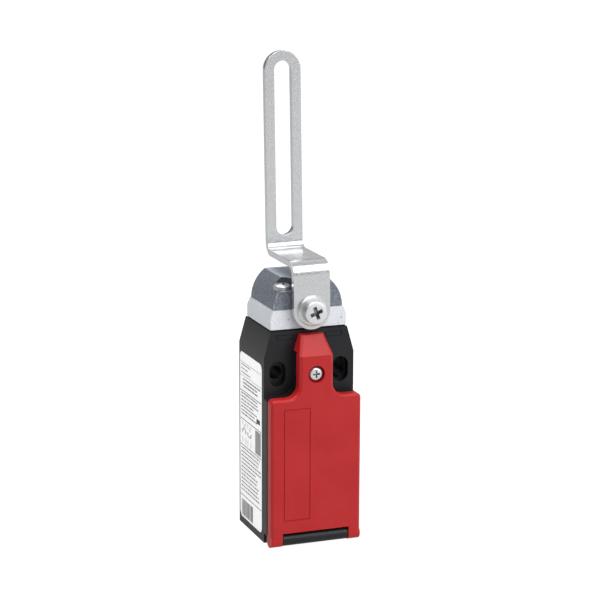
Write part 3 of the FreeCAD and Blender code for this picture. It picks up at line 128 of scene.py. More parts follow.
def map_range(tree, source, limits):
    """Maps a value to another range; limits are (from low, from high, to low, to high)."""
    node = tree.nodes.new("ShaderNodeMapRange")
    node.interpolation_type = "SMOOTHSTEP"
    for name, value in zip(("From Min", "From Max", "To Min", "To Max"), limits):
        node.inputs[name].default_value = value
    tree.links.new(source, node.inputs["Value"])
    return node.outputs["Result"]


def calculate(tree, operation, first, second):
    node = tree.nodes.new("ShaderNodeMath")
    node.operation = operation
    tree.links.new(first, node.inputs[0])
    tree.links.new(second, node.inputs[1])
    return node.outputs["Value"]


def make_room():
    """World whose strength depends on the direction: dim in front, on the left and in a gap above."""
    world = bpy.data.worlds.new("white_room")
    world.use_nodes = True
    tree = world.node_tree
    background = tree.nodes["Background"]
    background.inputs["Color"].default_value = WHITE
    place = tree.nodes.new("ShaderNodeTexCoord")
    apart = tree.nodes.new("ShaderNodeSeparateXYZ")
    tree.links.new(place.outputs["Generated"], apart.inputs["Vector"])
    depth = map_range(tree, apart.outputs["Y"], ROOM_DEPTH)
    flag = map_range(tree, apart.outputs["X"], ROOM_FLAG)
    gap_start = map_range(tree, apart.outputs["Z"], ROOM_GAP_START)
    gap_end = map_range(tree, apart.outputs["Z"], ROOM_GAP_END)
    gap = calculate(tree, "MAXIMUM", gap_start, gap_end)
    product = calculate(tree, "MULTIPLY", calculate(tree, "MULTIPLY", depth, flag), gap)
    path = tree.nodes.new("ShaderNodeLightPath")
    seen = tree.nodes.new("ShaderNodeMix")
    seen.inputs["B"].default_value = 1.0
    tree.links.new(path.outputs["Is Camera Ray"], seen.inputs["Factor"])
    tree.links.new(product, seen.inputs["A"])
    tree.links.new(seen.outputs["Result"], background.inputs["Strength"])
    bpy.context.scene.world = world
    bpy.context.scene.view_settings.view_transform = "Standard"
    return world


print("world:", make_room().name)

# %% [markdown]
# The switch stands on a table of lit glass. It is white for the camera and only grey for the object, for
# a table as bright as it looks would wash the lower edges out. Light Path tells the two apart. Seen from
# below, the table is clear, so that the bottom of the switch can be looked at through it.

# %% Table
TABLE_SIZE = 8.0
TABLE_COLOUR = 0.25
TABLE_FOR_CAMERA = 0.94
TABLE_FOR_OBJECT = 0.42
TABLE_DROP = 0.1
TABLE_ROUGHNESS = 0.9


def make_table():
    mesh = bpy.data.meshes.new("light_table")
    half = TABLE_SIZE / 2
    low = -TABLE_DROP * MM
    corners = [(-half, -half, low), (half, -half, low), (half, half, low), (-half, half, low)]
    mesh.from_pydata(corners, [], [(0, 1, 2, 3)])
    table = bpy.data.objects.new("light_table", mesh)
    bpy.context.scene.collection.objects.link(table)
    material = bpy.data.materials.new("table_glass")
    material.use_nodes = True
    tree = material.node_tree
    paint = tree.nodes["Principled BSDF"]
    paint.inputs["Base Color"].default_value = (TABLE_COLOUR, TABLE_COLOUR, TABLE_COLOUR, 1.0)
    paint.inputs["Roughness"].default_value = TABLE_ROUGHNESS
    paint.inputs["Specular IOR Level"].default_value = 0.0
    paint.inputs["Emission Color"].default_value = WHITE
    path = tree.nodes.new("ShaderNodeLightPath")
    glow = map_range(tree, path.outputs["Is Camera Ray"], (0.0, 1.0, TABLE_FOR_OBJECT, TABLE_FOR_CAMERA))
    tree.links.new(glow, paint.inputs["Emission Strength"])
    clear = tree.nodes.new("ShaderNodeBsdfTransparent")
    side = tree.nodes.new("ShaderNodeNewGeometry")
    mix = tree.nodes.new("ShaderNodeMixShader")
    tree.links.new(side.outputs["Backfacing"], mix.inputs["Fac"])
    tree.links.new(paint.outputs["BSDF"], mix.inputs[1])
    tree.links.new(clear.outputs["BSDF"], mix.inputs[2])
    tree.links.new(mix.outputs["Shader"], tree.nodes["Material Output"].inputs["Surface"])
    mesh.materials.append(material)
    return table


print("table:", make_table().name)

# %% [markdown]
# Three soft boxes add the rest: one above the front, one low at the right and one high at the left. Point
# lights would leave hard sparks on the metal, while a square of light gives the broad soft highlights of
# the picture. Each row of the table is a place, a size in metres and a power in watts.

# %% Lights
LIGHTS = {
    "soft_box_front": (spot(220, -760, 900), 0.9, 8.0),
    "soft_box_low": (spot(720, -830, 350), 0.5, 3.0),
    "soft_box_left": (spot(-420, 30, 980), 0.7, 6.5),
}
LIGHT_AIM = spot(0, 0, 70)


def make_light(name, place, size, power):
    data = bpy.data.lights.new(name, "AREA")
    data.shape = "SQUARE"
    data.size = size
    data.energy = power
    light = bpy.data.objects.new(name, data)
    turn = (LIGHT_AIM - place).to_track_quat("-Z", "Y").to_matrix().to_4x4()
    light.matrix_world = Matrix.Translation(place) @ turn
    bpy.context.scene.collection.objects.link(light)


for light_name, (place, size, power) in LIGHTS.items():
    make_light(light_name, place, size, power)
print("lights:", len(LIGHTS))

# %% [markdown]
# Every finish on this switch is a small recipe of the same kind: a colour that wanders a little, a
# roughness that wanders too, and a fine bump for the grain. One helper lays the common nodes, and each
# material below says how large its grain is and what else it shows. Patterns read Object coordinates,
# which are metres here, so a scale of 1000 means one cell per millimetre. Attributes that the pieces get
# later carry painted light and shade: edge lets a finish be worn on edges and paler there with a painted
# highlight, recess makes recesses dark with painted shade, and crown makes the crown pale with
# painted light. Painted images could show the same, but they would need unwrapped pieces, and a pattern
# that is worked out in space has no seams.

# %% Helpers for materials
# Names of the attributes for edge wear with a painted highlight, for painted shade and for painted light on
# the crown.
EDGE_WEAR_AND_HIGHLIGHT = "edge"
PAINTED_SHADE = "recess"
CROWN_PAINTED_LIGHT = "crown"
WANDER_FROM = 0.35
WANDER_TO = 0.65
PATCH_SCALE = 700
PATCH_FROM = 0.40
PATCH_TO = 0.62


def shade(name, colour, roughness, metallic=0.0):
    """A new material with its shader's own sockets set; returns it, its tree and its shader."""
    material = bpy.data.materials.new(name)
    material.use_nodes = True
    tree = material.node_tree
    shader = tree.nodes["Principled BSDF"]
    shader.inputs["Base Color"].default_value = (*colour, 1.0)
    shader.inputs["Roughness"].default_value = roughness
    shader.inputs["Metallic"].default_value = metallic
    material.diffuse_color = (*colour, 1.0)
    return material, tree, shader


def noise(tree, scale, detail=3.0, kind="NOISE", stretch=(1, 1, 1)):
    """Noise or cells on Object coordinates; scale counts cells per metre."""
    place = tree.nodes.new("ShaderNodeTexCoord")
    mapping = tree.nodes.new("ShaderNodeMapping")
    mapping.inputs["Scale"].default_value = stretch
    tree.links.new(place.outputs["Object"], mapping.inputs["Vector"])
    if kind == "CELLS":
        node = tree.nodes.new("ShaderNodeTexVoronoi")
    else:
        node = tree.nodes.new("ShaderNodeTexNoise")
        node.inputs["Detail"].default_value = detail
    node.inputs["Scale"].default_value = scale
    tree.links.new(mapping.outputs["Vector"], node.inputs["Vector"])
    return node


def ramp(tree, source, stops):
    """Colour ramp over a 0 to 1 value; stops are (position, colour) pairs."""
    node = tree.nodes.new("ShaderNodeValToRGB")
    bar = node.color_ramp.elements
    while len(bar) < len(stops):
        bar.new(0.5)
    for element, (position, colour) in zip(bar, stops):
        element.position = position
        element.color = (*colour, 1.0)
    tree.links.new(source, node.inputs["Fac"])
    return node.outputs["Color"]


def grey(value):
    return (value, value, value)


def bump(tree, shader, source, height, distance=0.0002):
    """Adds a bump from a grey source, on top of one that is there already."""
    node = tree.nodes.new("ShaderNodeBump")
    node.inputs["Strength"].default_value = height
    node.inputs["Distance"].default_value = distance
    tree.links.new(source, node.inputs["Height"])
    earlier = shader.inputs["Normal"].links
    if earlier:
        tree.links.new(earlier[0].from_socket, node.inputs["Normal"])
    tree.links.new(node.outputs["Normal"], shader.inputs["Normal"])


def wander(tree, shader, source, dark, light, socket="Base Color"):
    """Lets a socket wander between two colours or two grey values; returns the colour."""
    colour = ramp(tree, source, [(WANDER_FROM, dark), (WANDER_TO, light)])
    tree.links.new(colour, shader.inputs[socket])
    return colour


def mix_colours(tree, share, first, second, kind="MIX"):
    """Mixes two colours; share, first and second are each a socket or a value."""
    node = tree.nodes.new("ShaderNodeMix")
    node.data_type = "RGBA"
    node.blend_type = kind
    for name, value in (("Factor", share), ("A", first), ("B", second)):
        if isinstance(value, bpy.types.NodeSocket):
            tree.links.new(value, node.inputs[name])
        else:
            node.inputs[name].default_value = value
    return node.outputs["Result"]


def tint(tree, shader, skin, mark, colour, low, high):
    """Mixes a colour in, in patches, where the attribute called mark is 1; low and high are its share."""
    marked = tree.nodes.new("ShaderNodeAttribute")
    marked.attribute_name = mark
    cloud = noise(tree, PATCH_SCALE).outputs["Fac"]
    patches = ramp(tree, cloud, [(PATCH_FROM, grey(low)), (PATCH_TO, grey(high))])
    share = calculate(tree, "MULTIPLY", marked.outputs["Fac"], patches)
    mixed = mix_colours(tree, share, skin, (*colour, 1.0))
    tree.links.new(mixed, shader.inputs["Base Color"])
    return mixed


# %% [markdown]
# Plastic first. The body is a glass-filled black moulding: nearly black, satin, with a fine spark-eroded
# grain that softens its reflections. The cover is moulded in a polished mould, so its grain is finer and
# its highlights are tighter. The inner parts are a pale thermoset and a natural plastic. The grain could
# be modelled, but it is hardly wider than a pixel of the picture, so a bump is enough.

# %% Plastics
def black_plastic():
    material, tree, shader = shade("black_plastic", (0.007, 0.007, 0.008), 0.42)
    grain = noise(tree, 3200, 2.0)
    cloud = noise(tree, 60, 4.0)
    wander(tree, shader, cloud.outputs["Fac"], (0.0065, 0.0072, 0.0092), (0.0100, 0.0110, 0.0138))
    wander(tree, shader, grain.outputs["Fac"], grey(0.36), grey(0.48), "Roughness")
    shader.inputs["Specular IOR Level"].default_value = 0.37
    bump(tree, shader, grain.outputs["Fac"], 0.22, 0.00006)
    return material


def red_plastic():
    material, tree, shader = shade("red_plastic", (0.52, 0.014, 0.018), 0.38)
    grain = noise(tree, 4200, 2.0)
    cloud = noise(tree, 75, 4.0)
    wander(tree, shader, cloud.outputs["Fac"], (0.485, 0.011, 0.013), (0.525, 0.016, 0.018))
    wander(tree, shader, grain.outputs["Fac"], grey(0.36), grey(0.46), "Roughness")
    shader.inputs["Specular IOR Level"].default_value = 0.38
    bump(tree, shader, grain.outputs["Fac"], 0.12, 0.00004)
    return material


def block_plastic():
    material, tree, shader = shade("block_plastic", (0.60, 0.58, 0.52), 0.5)
    fibre = noise(tree, 1800, 5.0, stretch=(1, 1, 0.35))
    wander(tree, shader, fibre.outputs["Fac"], (0.56, 0.54, 0.48), (0.64, 0.62, 0.56))
    bump(tree, shader, fibre.outputs["Fac"], 0.15, 0.00005)
    return material


def carrier_plastic():
    material, tree, shader = shade("carrier_plastic", (0.80, 0.79, 0.74), 0.35)
    cloud = noise(tree, 500, 3.0)
    wander(tree, shader, cloud.outputs["Fac"], (0.77, 0.76, 0.71), (0.83, 0.82, 0.78))
    bump(tree, shader, cloud.outputs["Fac"], 0.08, 0.00005)
    return material


# %% [markdown]
# The head is a zinc die casting that was blasted. Its foot is left light, and the dome above is darker,
# so the colour changes with height, which spares a second material. The flat crown is painted paler
# again, a painted highlight on the faces that look up. A fine noise gives the sandy skin, a voronoi the
# few dark pits, and a slow noise the clouds of such castings. The edges are rubbed bright, and the same
# pale tint is also a painted highlight where they catch the light. The screw pockets get painted shade.

# %% Cast zinc
FOOT_HEIGHT = 6.05
FOOT_TOP_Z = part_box("head_casing")[0].z + FOOT_HEIGHT * MM
FOOT_BLEND = 0.12 * MM


def zinc_casting():
    material, tree, shader = shade("zinc_casting", (0.45, 0.47, 0.50), 0.55, 0.22)
    place = tree.nodes.new("ShaderNodeTexCoord")
    apart = tree.nodes.new("ShaderNodeSeparateXYZ")
    tree.links.new(place.outputs["Object"], apart.inputs["Vector"])
    height = map_range(tree, apart.outputs["Z"], (FOOT_TOP_Z - FOOT_BLEND, FOOT_TOP_Z + FOOT_BLEND, 0.0, 1.0))
    sand = noise(tree, 1900, 5.0)
    cloud = noise(tree, 170, 5.0)
    foot = ramp(tree, sand.outputs["Fac"], [(0.38, (0.76, 0.79, 0.83)), (0.62, (0.87, 0.90, 0.94))])
    dome = ramp(tree, sand.outputs["Fac"], [(0.36, (0.14, 0.158, 0.190)), (0.64, (0.26, 0.285, 0.33))])
    pits = noise(tree, 300, kind="CELLS")
    pitted = ramp(tree, pits.outputs["Distance"], [(0.05, grey(0.40)), (0.10, grey(1.0))])
    skin = mix_colours(tree, 1.0, mix_colours(tree, height, foot, dome), pitted, "MULTIPLY")
    # Painted light: the crown faces that look up are made paler.
    skin = tint(tree, shader, skin, CROWN_PAINTED_LIGHT, (0.56, 0.61, 0.69), 0.80, 1.0)
    # Edges tinted paler: partly real rubbed wear, partly a painted highlight.
    skin = tint(tree, shader, skin, EDGE_WEAR_AND_HIGHLIGHT, (0.80, 0.82, 0.85), 0.10, 0.70)
    # Painted shade: the screw pockets are darkened.
    tint(tree, shader, skin, PAINTED_SHADE, (0.05, 0.055, 0.065), 0.65, 0.9)
    wander(tree, shader, cloud.outputs["Fac"], grey(0.46), grey(0.58), "Roughness")
    bump(tree, shader, sand.outputs["Fac"], 0.5, 0.00012)
    bump(tree, shader, cloud.outputs["Fac"], 0.3, 0.0002)
    return material


print("the foot of the head ends at", round(FOOT_TOP_Z / MM, 2), "mm")

# %% [markdown]
# Three steels lie side by side at the front of the head. The lever is galvanised strip with a fine
# spangle; the screws and the washer are bright zinc plate; the shaft and the plunger are turned steel
# with rings round their axis. They share the metal shader and differ in grain and roughness. The turned
# metals differ in colour and roughness alone, so one function makes them all, brass and bronze too.

# %% Steels and other metals
RING_LIGHT = 1.08
RING_DARK = 0.9


def lever_steel():
    material, tree, shader = shade("lever_steel", (0.66, 0.67, 0.68), 0.34, 0.9)
    spangle = noise(tree, 2400, kind="CELLS")
    fine = noise(tree, 3600, 3.0)
    skin = wander(tree, shader, spangle.outputs["Color"], (0.69, 0.703, 0.718), (0.74, 0.753, 0.768))
    # Edges tinted paler: rubbed wear and a painted highlight.
    tint(tree, shader, skin, EDGE_WEAR_AND_HIGHLIGHT, grey(0.82), 0.15, 1.0)
    wander(tree, shader, fine.outputs["Fac"], grey(0.20), grey(0.28), "Roughness")
    bump(tree, shader, fine.outputs["Fac"], 0.10, 0.00004)
    return material


def zinc_plated_steel():
    material, tree, shader = shade("zinc_plated_steel", (0.66, 0.67, 0.69), 0.38, 0.85)
    cloud = noise(tree, 320, 3.0)
    skin = wander(tree, shader, cloud.outputs["Fac"], (0.78, 0.79, 0.80), (0.85, 0.86, 0.865))
    # Painted shade: the screw crosses and the walls of the heads are darkened.
    tint(tree, shader, skin, PAINTED_SHADE, (0.30, 0.31, 0.31), 0.75, 1.0)
    wander(tree, shader, cloud.outputs["Fac"], grey(0.36), grey(0.42), "Roughness")
    return material


def turned_metal(name, colour, roughness):
    material, tree, shader = shade(name, colour, roughness, 1.0)
    rings = noise(tree, 1500, 2.0, stretch=(1, 6, 1))
    light = tuple(min(1.0, RING_LIGHT * part) for part in colour)
    dark = tuple(RING_DARK * part for part in colour)
    wander(tree, shader, rings.outputs["Fac"], dark, light)
    bump(tree, shader, rings.outputs["Fac"], 0.1, 0.00003)
    return material


# %% [markdown]
# Rubber seals and the label's film are the last two. Rubber is matt and nearly black. The film's white is
# brighter in the picture than plain paint comes out on that side, so it is given a painted glow: its
# finish gives off a little light of its own, which a real film does not. A brighter lamp would burn out
# the metal above it.

# %% Rubber and film
FILM_PAINTED_GLOW = 0.37


def black_rubber():
    material, tree, shader = shade("black_rubber", (0.016, 0.016, 0.016), 0.75)
    skin = noise(tree, 1500, 4.0)
    wander(tree, shader, skin.outputs["Fac"], grey(0.012), grey(0.022))
    bump(tree, shader, skin.outputs["Fac"], 0.3, 0.00005)
    return material


def label_film():
    material, tree, shader = shade("label_film", (0.80, 0.80, 0.81), 0.42)
    fibre = noise(tree, 900, 3.0)
    wander(tree, shader, fibre.outputs["Fac"], grey(0.84), grey(0.88))
    # Painted glow: the film shines a little by itself.
    shader.inputs["Emission Color"].default_value = WHITE
    shader.inputs["Emission Strength"].default_value = FILM_PAINTED_GLOW
    return material


# %% [markdown]
# Each finish is made once and shared. A table with the names of the record's material slots is easier to
# check than a call beside every piece.

# %% All finishes
FINISHES = {
    "black_plastic": black_plastic(),
    "red_plastic": red_plastic(),
    "block_plastic": block_plastic(),
    "carrier_plastic": carrier_plastic(),
    "zinc_casting": zinc_casting(),
    "lever_steel": lever_steel(),
    "zinc_plated_steel": zinc_plated_steel(),
    "bright_steel": turned_metal("bright_steel", (0.62, 0.63, 0.65), 0.28),
    "hardened_steel": turned_metal("hardened_steel", (0.30, 0.30, 0.32), 0.35),
    "spring_wire": turned_metal("spring_wire", (0.58, 0.58, 0.60), 0.3),
    "brass_parts": turned_metal("brass_parts", (0.78, 0.58, 0.28), 0.3),
    "bearing_bronze": turned_metal("bearing_bronze", (0.50, 0.33, 0.18), 0.5),
    "contact_metal": turned_metal("contact_metal", (0.80, 0.74, 0.62), 0.25),
    "black_rubber": black_rubber(),
    "label_film": label_film(),
}
print("finishes:", len(FINISHES))

# %% [markdown]
# Now every construction piece gets its finish. The record names one material slot per piece, and the
# finish has the slot's name, so a short loop dresses them all.

# %% Dress the pieces as they come
SLOT_OF = {part["node"]: part["material_slot"] for part in frame["record"]["subparts"]}
for node, piece in frame["nodes"].items():
    piece.data.materials.clear()
    piece.data.materials.append(FINISHES[SLOT_OF[node]])
print("dressed:", len(SLOT_OF))

# %% [markdown]
# Real edges are never razor sharp: a moulding has a small radius and a blanked strip has a soft burr
# edge. A copy of the construction piece is welded into one skin, its flat faces are joined, and a Bevel
# modifier rounds every edge that is sharper than the limit. A radius in the construction would cost
# thousands of faces there, and here it follows any shape. A flat face has to stay flat to the light, so a
# Weighted Normal modifier lets the large faces decide the shading. The bevel gives its own faces the
# second material index, and that becomes the attribute edge. The table gives each piece its radius in
# millimetres, and the copy stands for the piece.

# %% Round the edges of the large pieces
WELD = 0.000002
FLAT_ANGLE = math.radians(1.0)
SHARP_ANGLE = math.radians(30.0)
FACET_ANGLE = math.radians(12.0)
BEVEL_SEGMENTS = 3
ROUNDED = {
    "housing": 0.25,
    "cover": 0.16,
    "head_casing": 0.35,
    "lever": 0.22,
    "lever_washer": 0.06,
    "contact_block": 0.2,
    "contact_carrier": 0.12,
    "terminals": 0.1,
    "wire_clamps": 0.15,
    "shaft": 0.15,
    "cam": 0.15,
    "cover_gasket": 0.15,
    "head_plunger": 0.1,
    "opening_bridge": 0.08,
    "closing_bridge": 0.08,
}


def body_of_node(node):
    for body, members in frame["record"]["behaviour"]["bodies"].items():
        if node in members:
            return body
    raise KeyError(node)


def plain_mesh(piece, name):
    """The mesh of a piece with its modifiers applied, as a new object without any."""
    graph = bpy.context.evaluated_depsgraph_get()
    mesh = bpy.data.meshes.new_from_object(piece.evaluated_get(graph), depsgraph=graph)
    mesh.name = name
    bpy.data.objects.remove(piece)
    made = bpy.data.objects.new(name, mesh)
    bpy.context.scene.collection.objects.link(made)
    return made


def welded_copy(node):
    mesh = frame["nodes"][node].data.copy()
    work = bmesh.new()
    work.from_mesh(mesh)
    bmesh.ops.remove_doubles(work, verts=work.verts, dist=WELD)
    bmesh.ops.dissolve_limit(work, angle_limit=FLAT_ANGLE, verts=work.verts, edges=work.edges)
    work.to_mesh(mesh)
    work.free()
    mesh.polygons.foreach_set("use_smooth", [True] * len(mesh.polygons))
    piece = bpy.data.objects.new(node + "_rounded", mesh)
    bpy.context.scene.collection.objects.link(piece)
    return piece


def shade_evenly(piece):
    """Keeps a crease between two flat faces, and smooths the facets of arcs and of rounded edges."""
    work = bmesh.new()
    work.from_mesh(piece.data)
    for edge in work.edges:
        rounded = any(face.material_index for face in edge.link_faces)
        edge.smooth = rounded or edge.calc_face_angle(math.pi) < FACET_ANGLE
    work.to_mesh(piece.data)
    work.free()
    even = piece.modifiers.new("even shading", "WEIGHTED_NORMAL")
    even.mode = "FACE_AREA"
    even.keep_sharp = True


def mark_edges(mesh):
    """Turns the second material index, which the bevel gave its faces, into the attribute named edge."""
    edge = mesh.attributes.new(EDGE_WEAR_AND_HIGHLIGHT, "FLOAT", "FACE")
    for face, value in zip(mesh.polygons, edge.data):
        value.value = float(face.material_index)
        face.material_index = 0
    mesh.materials.pop(index=1)


def round_edges(node, radius):
    piece = welded_copy(node)
    piece.data.materials.append(FINISHES[SLOT_OF[node]])
    bevel = piece.modifiers.new("edge radius", "BEVEL")
    bevel.material = 1
    bevel.width = radius * MM
    bevel.segments = BEVEL_SEGMENTS
    bevel.limit_method = "ANGLE"
    bevel.angle_limit = SHARP_ANGLE
    bevel.use_clamp_overlap = True
    made = plain_mesh(piece, node + "_rounded")
    shade_evenly(made)
    made = plain_mesh(made, node + "_rounded")
    mark_edges(made.data)
    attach(made, body_of_node(node))
    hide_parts(node)
    return made


rounded = {node: round_edges(node, radius) for node, radius in ROUNDED.items()}
for piece in rounded.values():
    print(piece.name, len(piece.data.polygons), "faces")

# %% [markdown]
# The head carries two more marks of painted light and shade. Its screws lie in pockets that hardly any
# light reaches, and those get painted shade; its flat crown gets painted light, so it is paler than the
# round sides. A colour by height would run down those sides as well, so faces are picked by where they
# are and by the way they face, and attributes carry that to the finish.

# %% Marks on the head
HEAD_SCREW_PLACES = [spot(-7.5, -4.4, 83), spot(7.5, 10.6, 83)]
POCKET_RADIUS = 3.1
POCKET_FLOOR = 80.9
CROWN_RISE = 0.95


def mark_head(mesh):
    """Marks the screw pockets for painted shade and the crown for painted light; returns the crown's area."""
    near = [min((face.center.xy - place.xy).length for place in HEAD_SCREW_PLACES) for face in mesh.polygons]
    inside = [away < POCKET_RADIUS * MM and face.center.z > POCKET_FLOOR * MM
              for away, face in zip(near, mesh.polygons)]
    # Pockets get painted shade, and crown faces that look up get painted light.
    pocket_shade = mesh.attributes.new(PAINTED_SHADE, "FLOAT", "FACE")
    pocket_shade.data.foreach_set("value", [float(value) for value in inside])
    crown = mesh.attributes.new(CROWN_PAINTED_LIGHT, "FLOAT", "FACE")
    crown.data.foreach_set("value", [
        float(face.normal.z > CROWN_RISE and face.center.z > FOOT_TOP_Z and not value)
        for value, face in zip(inside, mesh.polygons)
    ])
    return sum(face.area for face, value in zip(mesh.polygons, crown.data) if value.value)


crown_area = mark_head(rounded["head_casing"].data)
print("crown in square millimetres:", round(crown_area / MM ** 2))

# %% [markdown]
# Screws come next. A turned head is an outline swept round its axis. The shank carries a real helical
# thread: a grid wound round the core, whose radius rises and falls with the distance to the thread line.
# A Screw modifier could wind a profile too, but the grid closes at both ends by itself. Everything is
# built in millimetres with the head's top at zero, and scaled to metres at the end.

# %% Turned and threaded forms
ROUND_STEPS = 40
THREAD_STEPS = 28
THREAD_ROWS = 5
DOME_STEPS = 9
DOME_RISE = 0.93
FLAT_SHARE = 0.62


def object_from(work, name):
    mesh = bpy.data.meshes.new(name)
    work.to_mesh(mesh)
    work.free()
    made = bpy.data.objects.new(name, mesh)
    bpy.context.scene.collection.objects.link(made)
    return made


def smooth(mesh):
    mesh.polygons.foreach_set("use_smooth", [True] * len(mesh.polygons))
    mesh.set_sharp_from_angle(angle=SHARP_ANGLE)


def circle(steps):
    """The angles of a full turn in equal steps."""
    return [2 * math.pi * step / steps for step in range(steps)]


def join_rings(work, rings):
    """Closes the skin between rings of equally many corners."""
    for under, over in zip(rings, rings[1:]):
        for step in range(len(under)):
            after = (step + 1) % len(under)
            work.faces.new((under[step], under[after], over[after], over[step]))


def lathe(work, outline, steps=ROUND_STEPS):
    """Sweeps (radius, z) points round Z; the first and the last point lie on the axis."""
    low = work.verts.new((0, 0, outline[0][1]))
    high = work.verts.new((0, 0, outline[-1][1]))
    rings = []
    for radius, z in outline[1:-1]:
        rings.append([work.verts.new((radius * math.cos(a), radius * math.sin(a), z)) for a in circle(steps)])
    for step in range(steps):
        after = (step + 1) % steps
        work.faces.new((low, rings[0][after], rings[0][step]))
        for under, over in zip(rings, rings[1:]):
            work.faces.new((under[step], under[after], over[after], over[step]))
        work.faces.new((high, rings[-1][step], rings[-1][after]))


def ridge(z, pitch, turned):
    """How far a thread stands out, from 0 to 1, at a height and at a share of the turn."""
    wave = (z / pitch - turned) % 1.0
    return 1 - abs(2 * wave - 1)


def thread(work, core, crest, pitch, z0, z1, taper=0.0):
    """Closed bar with a helical thread from z0 up to z1; taper narrows its lower end."""
    rows = max(2, round((z1 - z0) / pitch * THREAD_ROWS))
    rings = []
    for row in range(rows + 1):
        z = z0 + (z1 - z0) * row / rows
        narrow = taper * max(0.0, 1 - (z - z0) / pitch)
        ring = []
        for step, a in enumerate(circle(THREAD_STEPS)):
            radius = core + (crest - core) * ridge(z, pitch, step / THREAD_STEPS) - narrow
            ring.append(work.verts.new((radius * math.cos(a), radius * math.sin(a), z)))
        rings.append(ring)
    join_rings(work, rings)
    work.faces.new(list(reversed(rings[0])))
    work.faces.new(rings[-1])


def pan_outline(radius, height, crown=0.32, wall=0.42):
    """Half outline of a pan head, from below; crown and wall say how far it rounds in and how high."""
    shoulder = wall * height
    points = [(0, -height), (radius, -height), (radius, -height + shoulder)]
    dome = height - shoulder
    for step in range(1, DOME_STEPS):
        a = math.pi / 2 * step / DOME_STEPS
        rise = dome * DOME_RISE * math.sin(a)
        points.append((radius - crown * radius * (1 - math.cos(a)), -height + shoulder + rise))
    points.append((FLAT_SHARE * (1 - crown) * radius, 0))
    points.append((0, 0))
    return points


outline = pan_outline(1.0, 1.0)
print("points on the outline of a pan head:", len(outline))

# %% [markdown]
# The cross is cut out of the head by a tapered star, because a stamped recess narrows towards its floor,
# and a Boolean modifier keeps the rim of the cut crisp. Its floor and its walls are marked with the
# attribute recess, and so is the wall of the head, a little less, so that both get painted shade
# and stay darker than the top.

# %% Cross and whole screw
CROSS_TAPER = 0.55
CROSS_CUT = 0.80
CUTTER_ABOVE = 0.3
RECESS_START = -0.3
WALL_SHARE = 0.97
WALL_SHADE = 0.6
SHANK_OVERLAP = 0.05
TIP_TAPER = 0.25
FACING_FRONT = Euler((math.radians(90), 0, 0))
FACING_UP = Euler((0, 0, 0))


def cross_cutter(reach, half, depth):
    """Tapered star with four arms, from just above z = 0 down to -depth."""
    work = bmesh.new()
    outline = [
        (half, half), (reach, half), (reach, -half), (half, -half), (half, -reach), (-half, -reach),
        (-half, -half), (-reach, -half), (-reach, half), (-half, half), (-half, reach), (half, reach),
    ]
    top = [work.verts.new((x, y, CUTTER_ABOVE)) for x, y in outline]
    low = [work.verts.new((x * CROSS_TAPER, y * CROSS_CUT, -depth)) if abs(x) > abs(y)
           else work.verts.new((x * CROSS_CUT, y * CROSS_TAPER, -depth)) for x, y in outline]
    join_rings(work, [top, low])
    work.faces.new(list(reversed(top)))
    work.faces.new(low)
    bmesh.ops.recalc_face_normals(work, faces=work.faces)
    return object_from(work, "cross_cutter")


def mark_painted_shade(work, radius, reach):
    """Marks painted shade on the cross, which reaches as far as reach, and on the wall of a head with this
    radius.
    """
    recess = work.faces.layers.float.new(PAINTED_SHADE)
    for face in work.faces:
        middle = face.calc_center_median()
        away = math.hypot(middle.x, middle.y)
        face[recess] = float(middle.z < RECESS_START and away < reach)
        if away > WALL_SHARE * radius:
            face[recess] = WALL_SHADE


def screw_form(name, head, shank, length, cross, turn=0.0):
    """Screw along Z in metres. head goes to pan_outline, shank is (core, crest, pitch)."""
    work = bmesh.new()
    lathe(work, pan_outline(*head))
    bmesh.ops.recalc_face_normals(work, faces=work.faces)
    made = object_from(work, name)
    cutter = cross_cutter(*cross)
    cut = made.modifiers.new("cross", "BOOLEAN")
    cut.operation = "DIFFERENCE"
    cut.solver = "EXACT"
    cut.object = cutter
    made = plain_mesh(made, name)
    bpy.data.objects.remove(cutter)
    work = bmesh.new()
    work.from_mesh(made.data)
    mark_painted_shade(work, head[0], cross[0])
    thread(work, *shank, -head[1] - length, -head[1] + SHANK_OVERLAP, taper=TIP_TAPER)
    work.to_mesh(made.data)
    work.free()
    made.data.transform(Matrix.Scale(MM, 4) @ Matrix.Rotation(turn, 4, "Z"))
    smooth(made.data)
    return made


# %% [markdown]
# The two single screws are made and set in place directly, for a node tree would not make one screw any
# simpler. The lever screw's cross is turned by 20 degrees, as the photograph shows it.

# %% Cover screw and lever screw
LEVER_SCREW_TURN = math.radians(20)


def place_single(form, at, node):
    form.data.transform(Matrix.Translation(at) @ FACING_FRONT.to_matrix().to_4x4())
    form.data.materials.append(FINISHES[SLOT_OF[node]])
    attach(form, body_of_node(node))
    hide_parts(node)


cover_screw = screw_form("cover_screw_turned", (2.2, 1.7), (1.2, 1.42, 0.5), 5.3, (1.35, 0.32, 1.15))
place_single(cover_screw, spot(0, -15.2, 55.6), "cover_screw")
lever_screw = screw_form("lever_screw_turned", (3.7, 2.8, 0.12, 0.80), (1.5, 1.64, 0.7), 7.5,
                         (2.2, 0.62, 2.1), turn=LEVER_SCREW_TURN)
place_single(lever_screw, spot(0, -15.1, 75), "lever_screw")
print("single screws:", len(cover_screw.data.polygons), len(lever_screw.data.polygons), "faces")

# %% [markdown]
# The other screws repeat, so Geometry Nodes sets them: a cloud of points, one screw form, one turn, and
# a copy on each point. Copies could be linked objects too, but a tree keeps a set of screws one piece. The
# copies are made real and get their finish inside the same tree, because an export drops instances, and
# the result replaces the modifier.

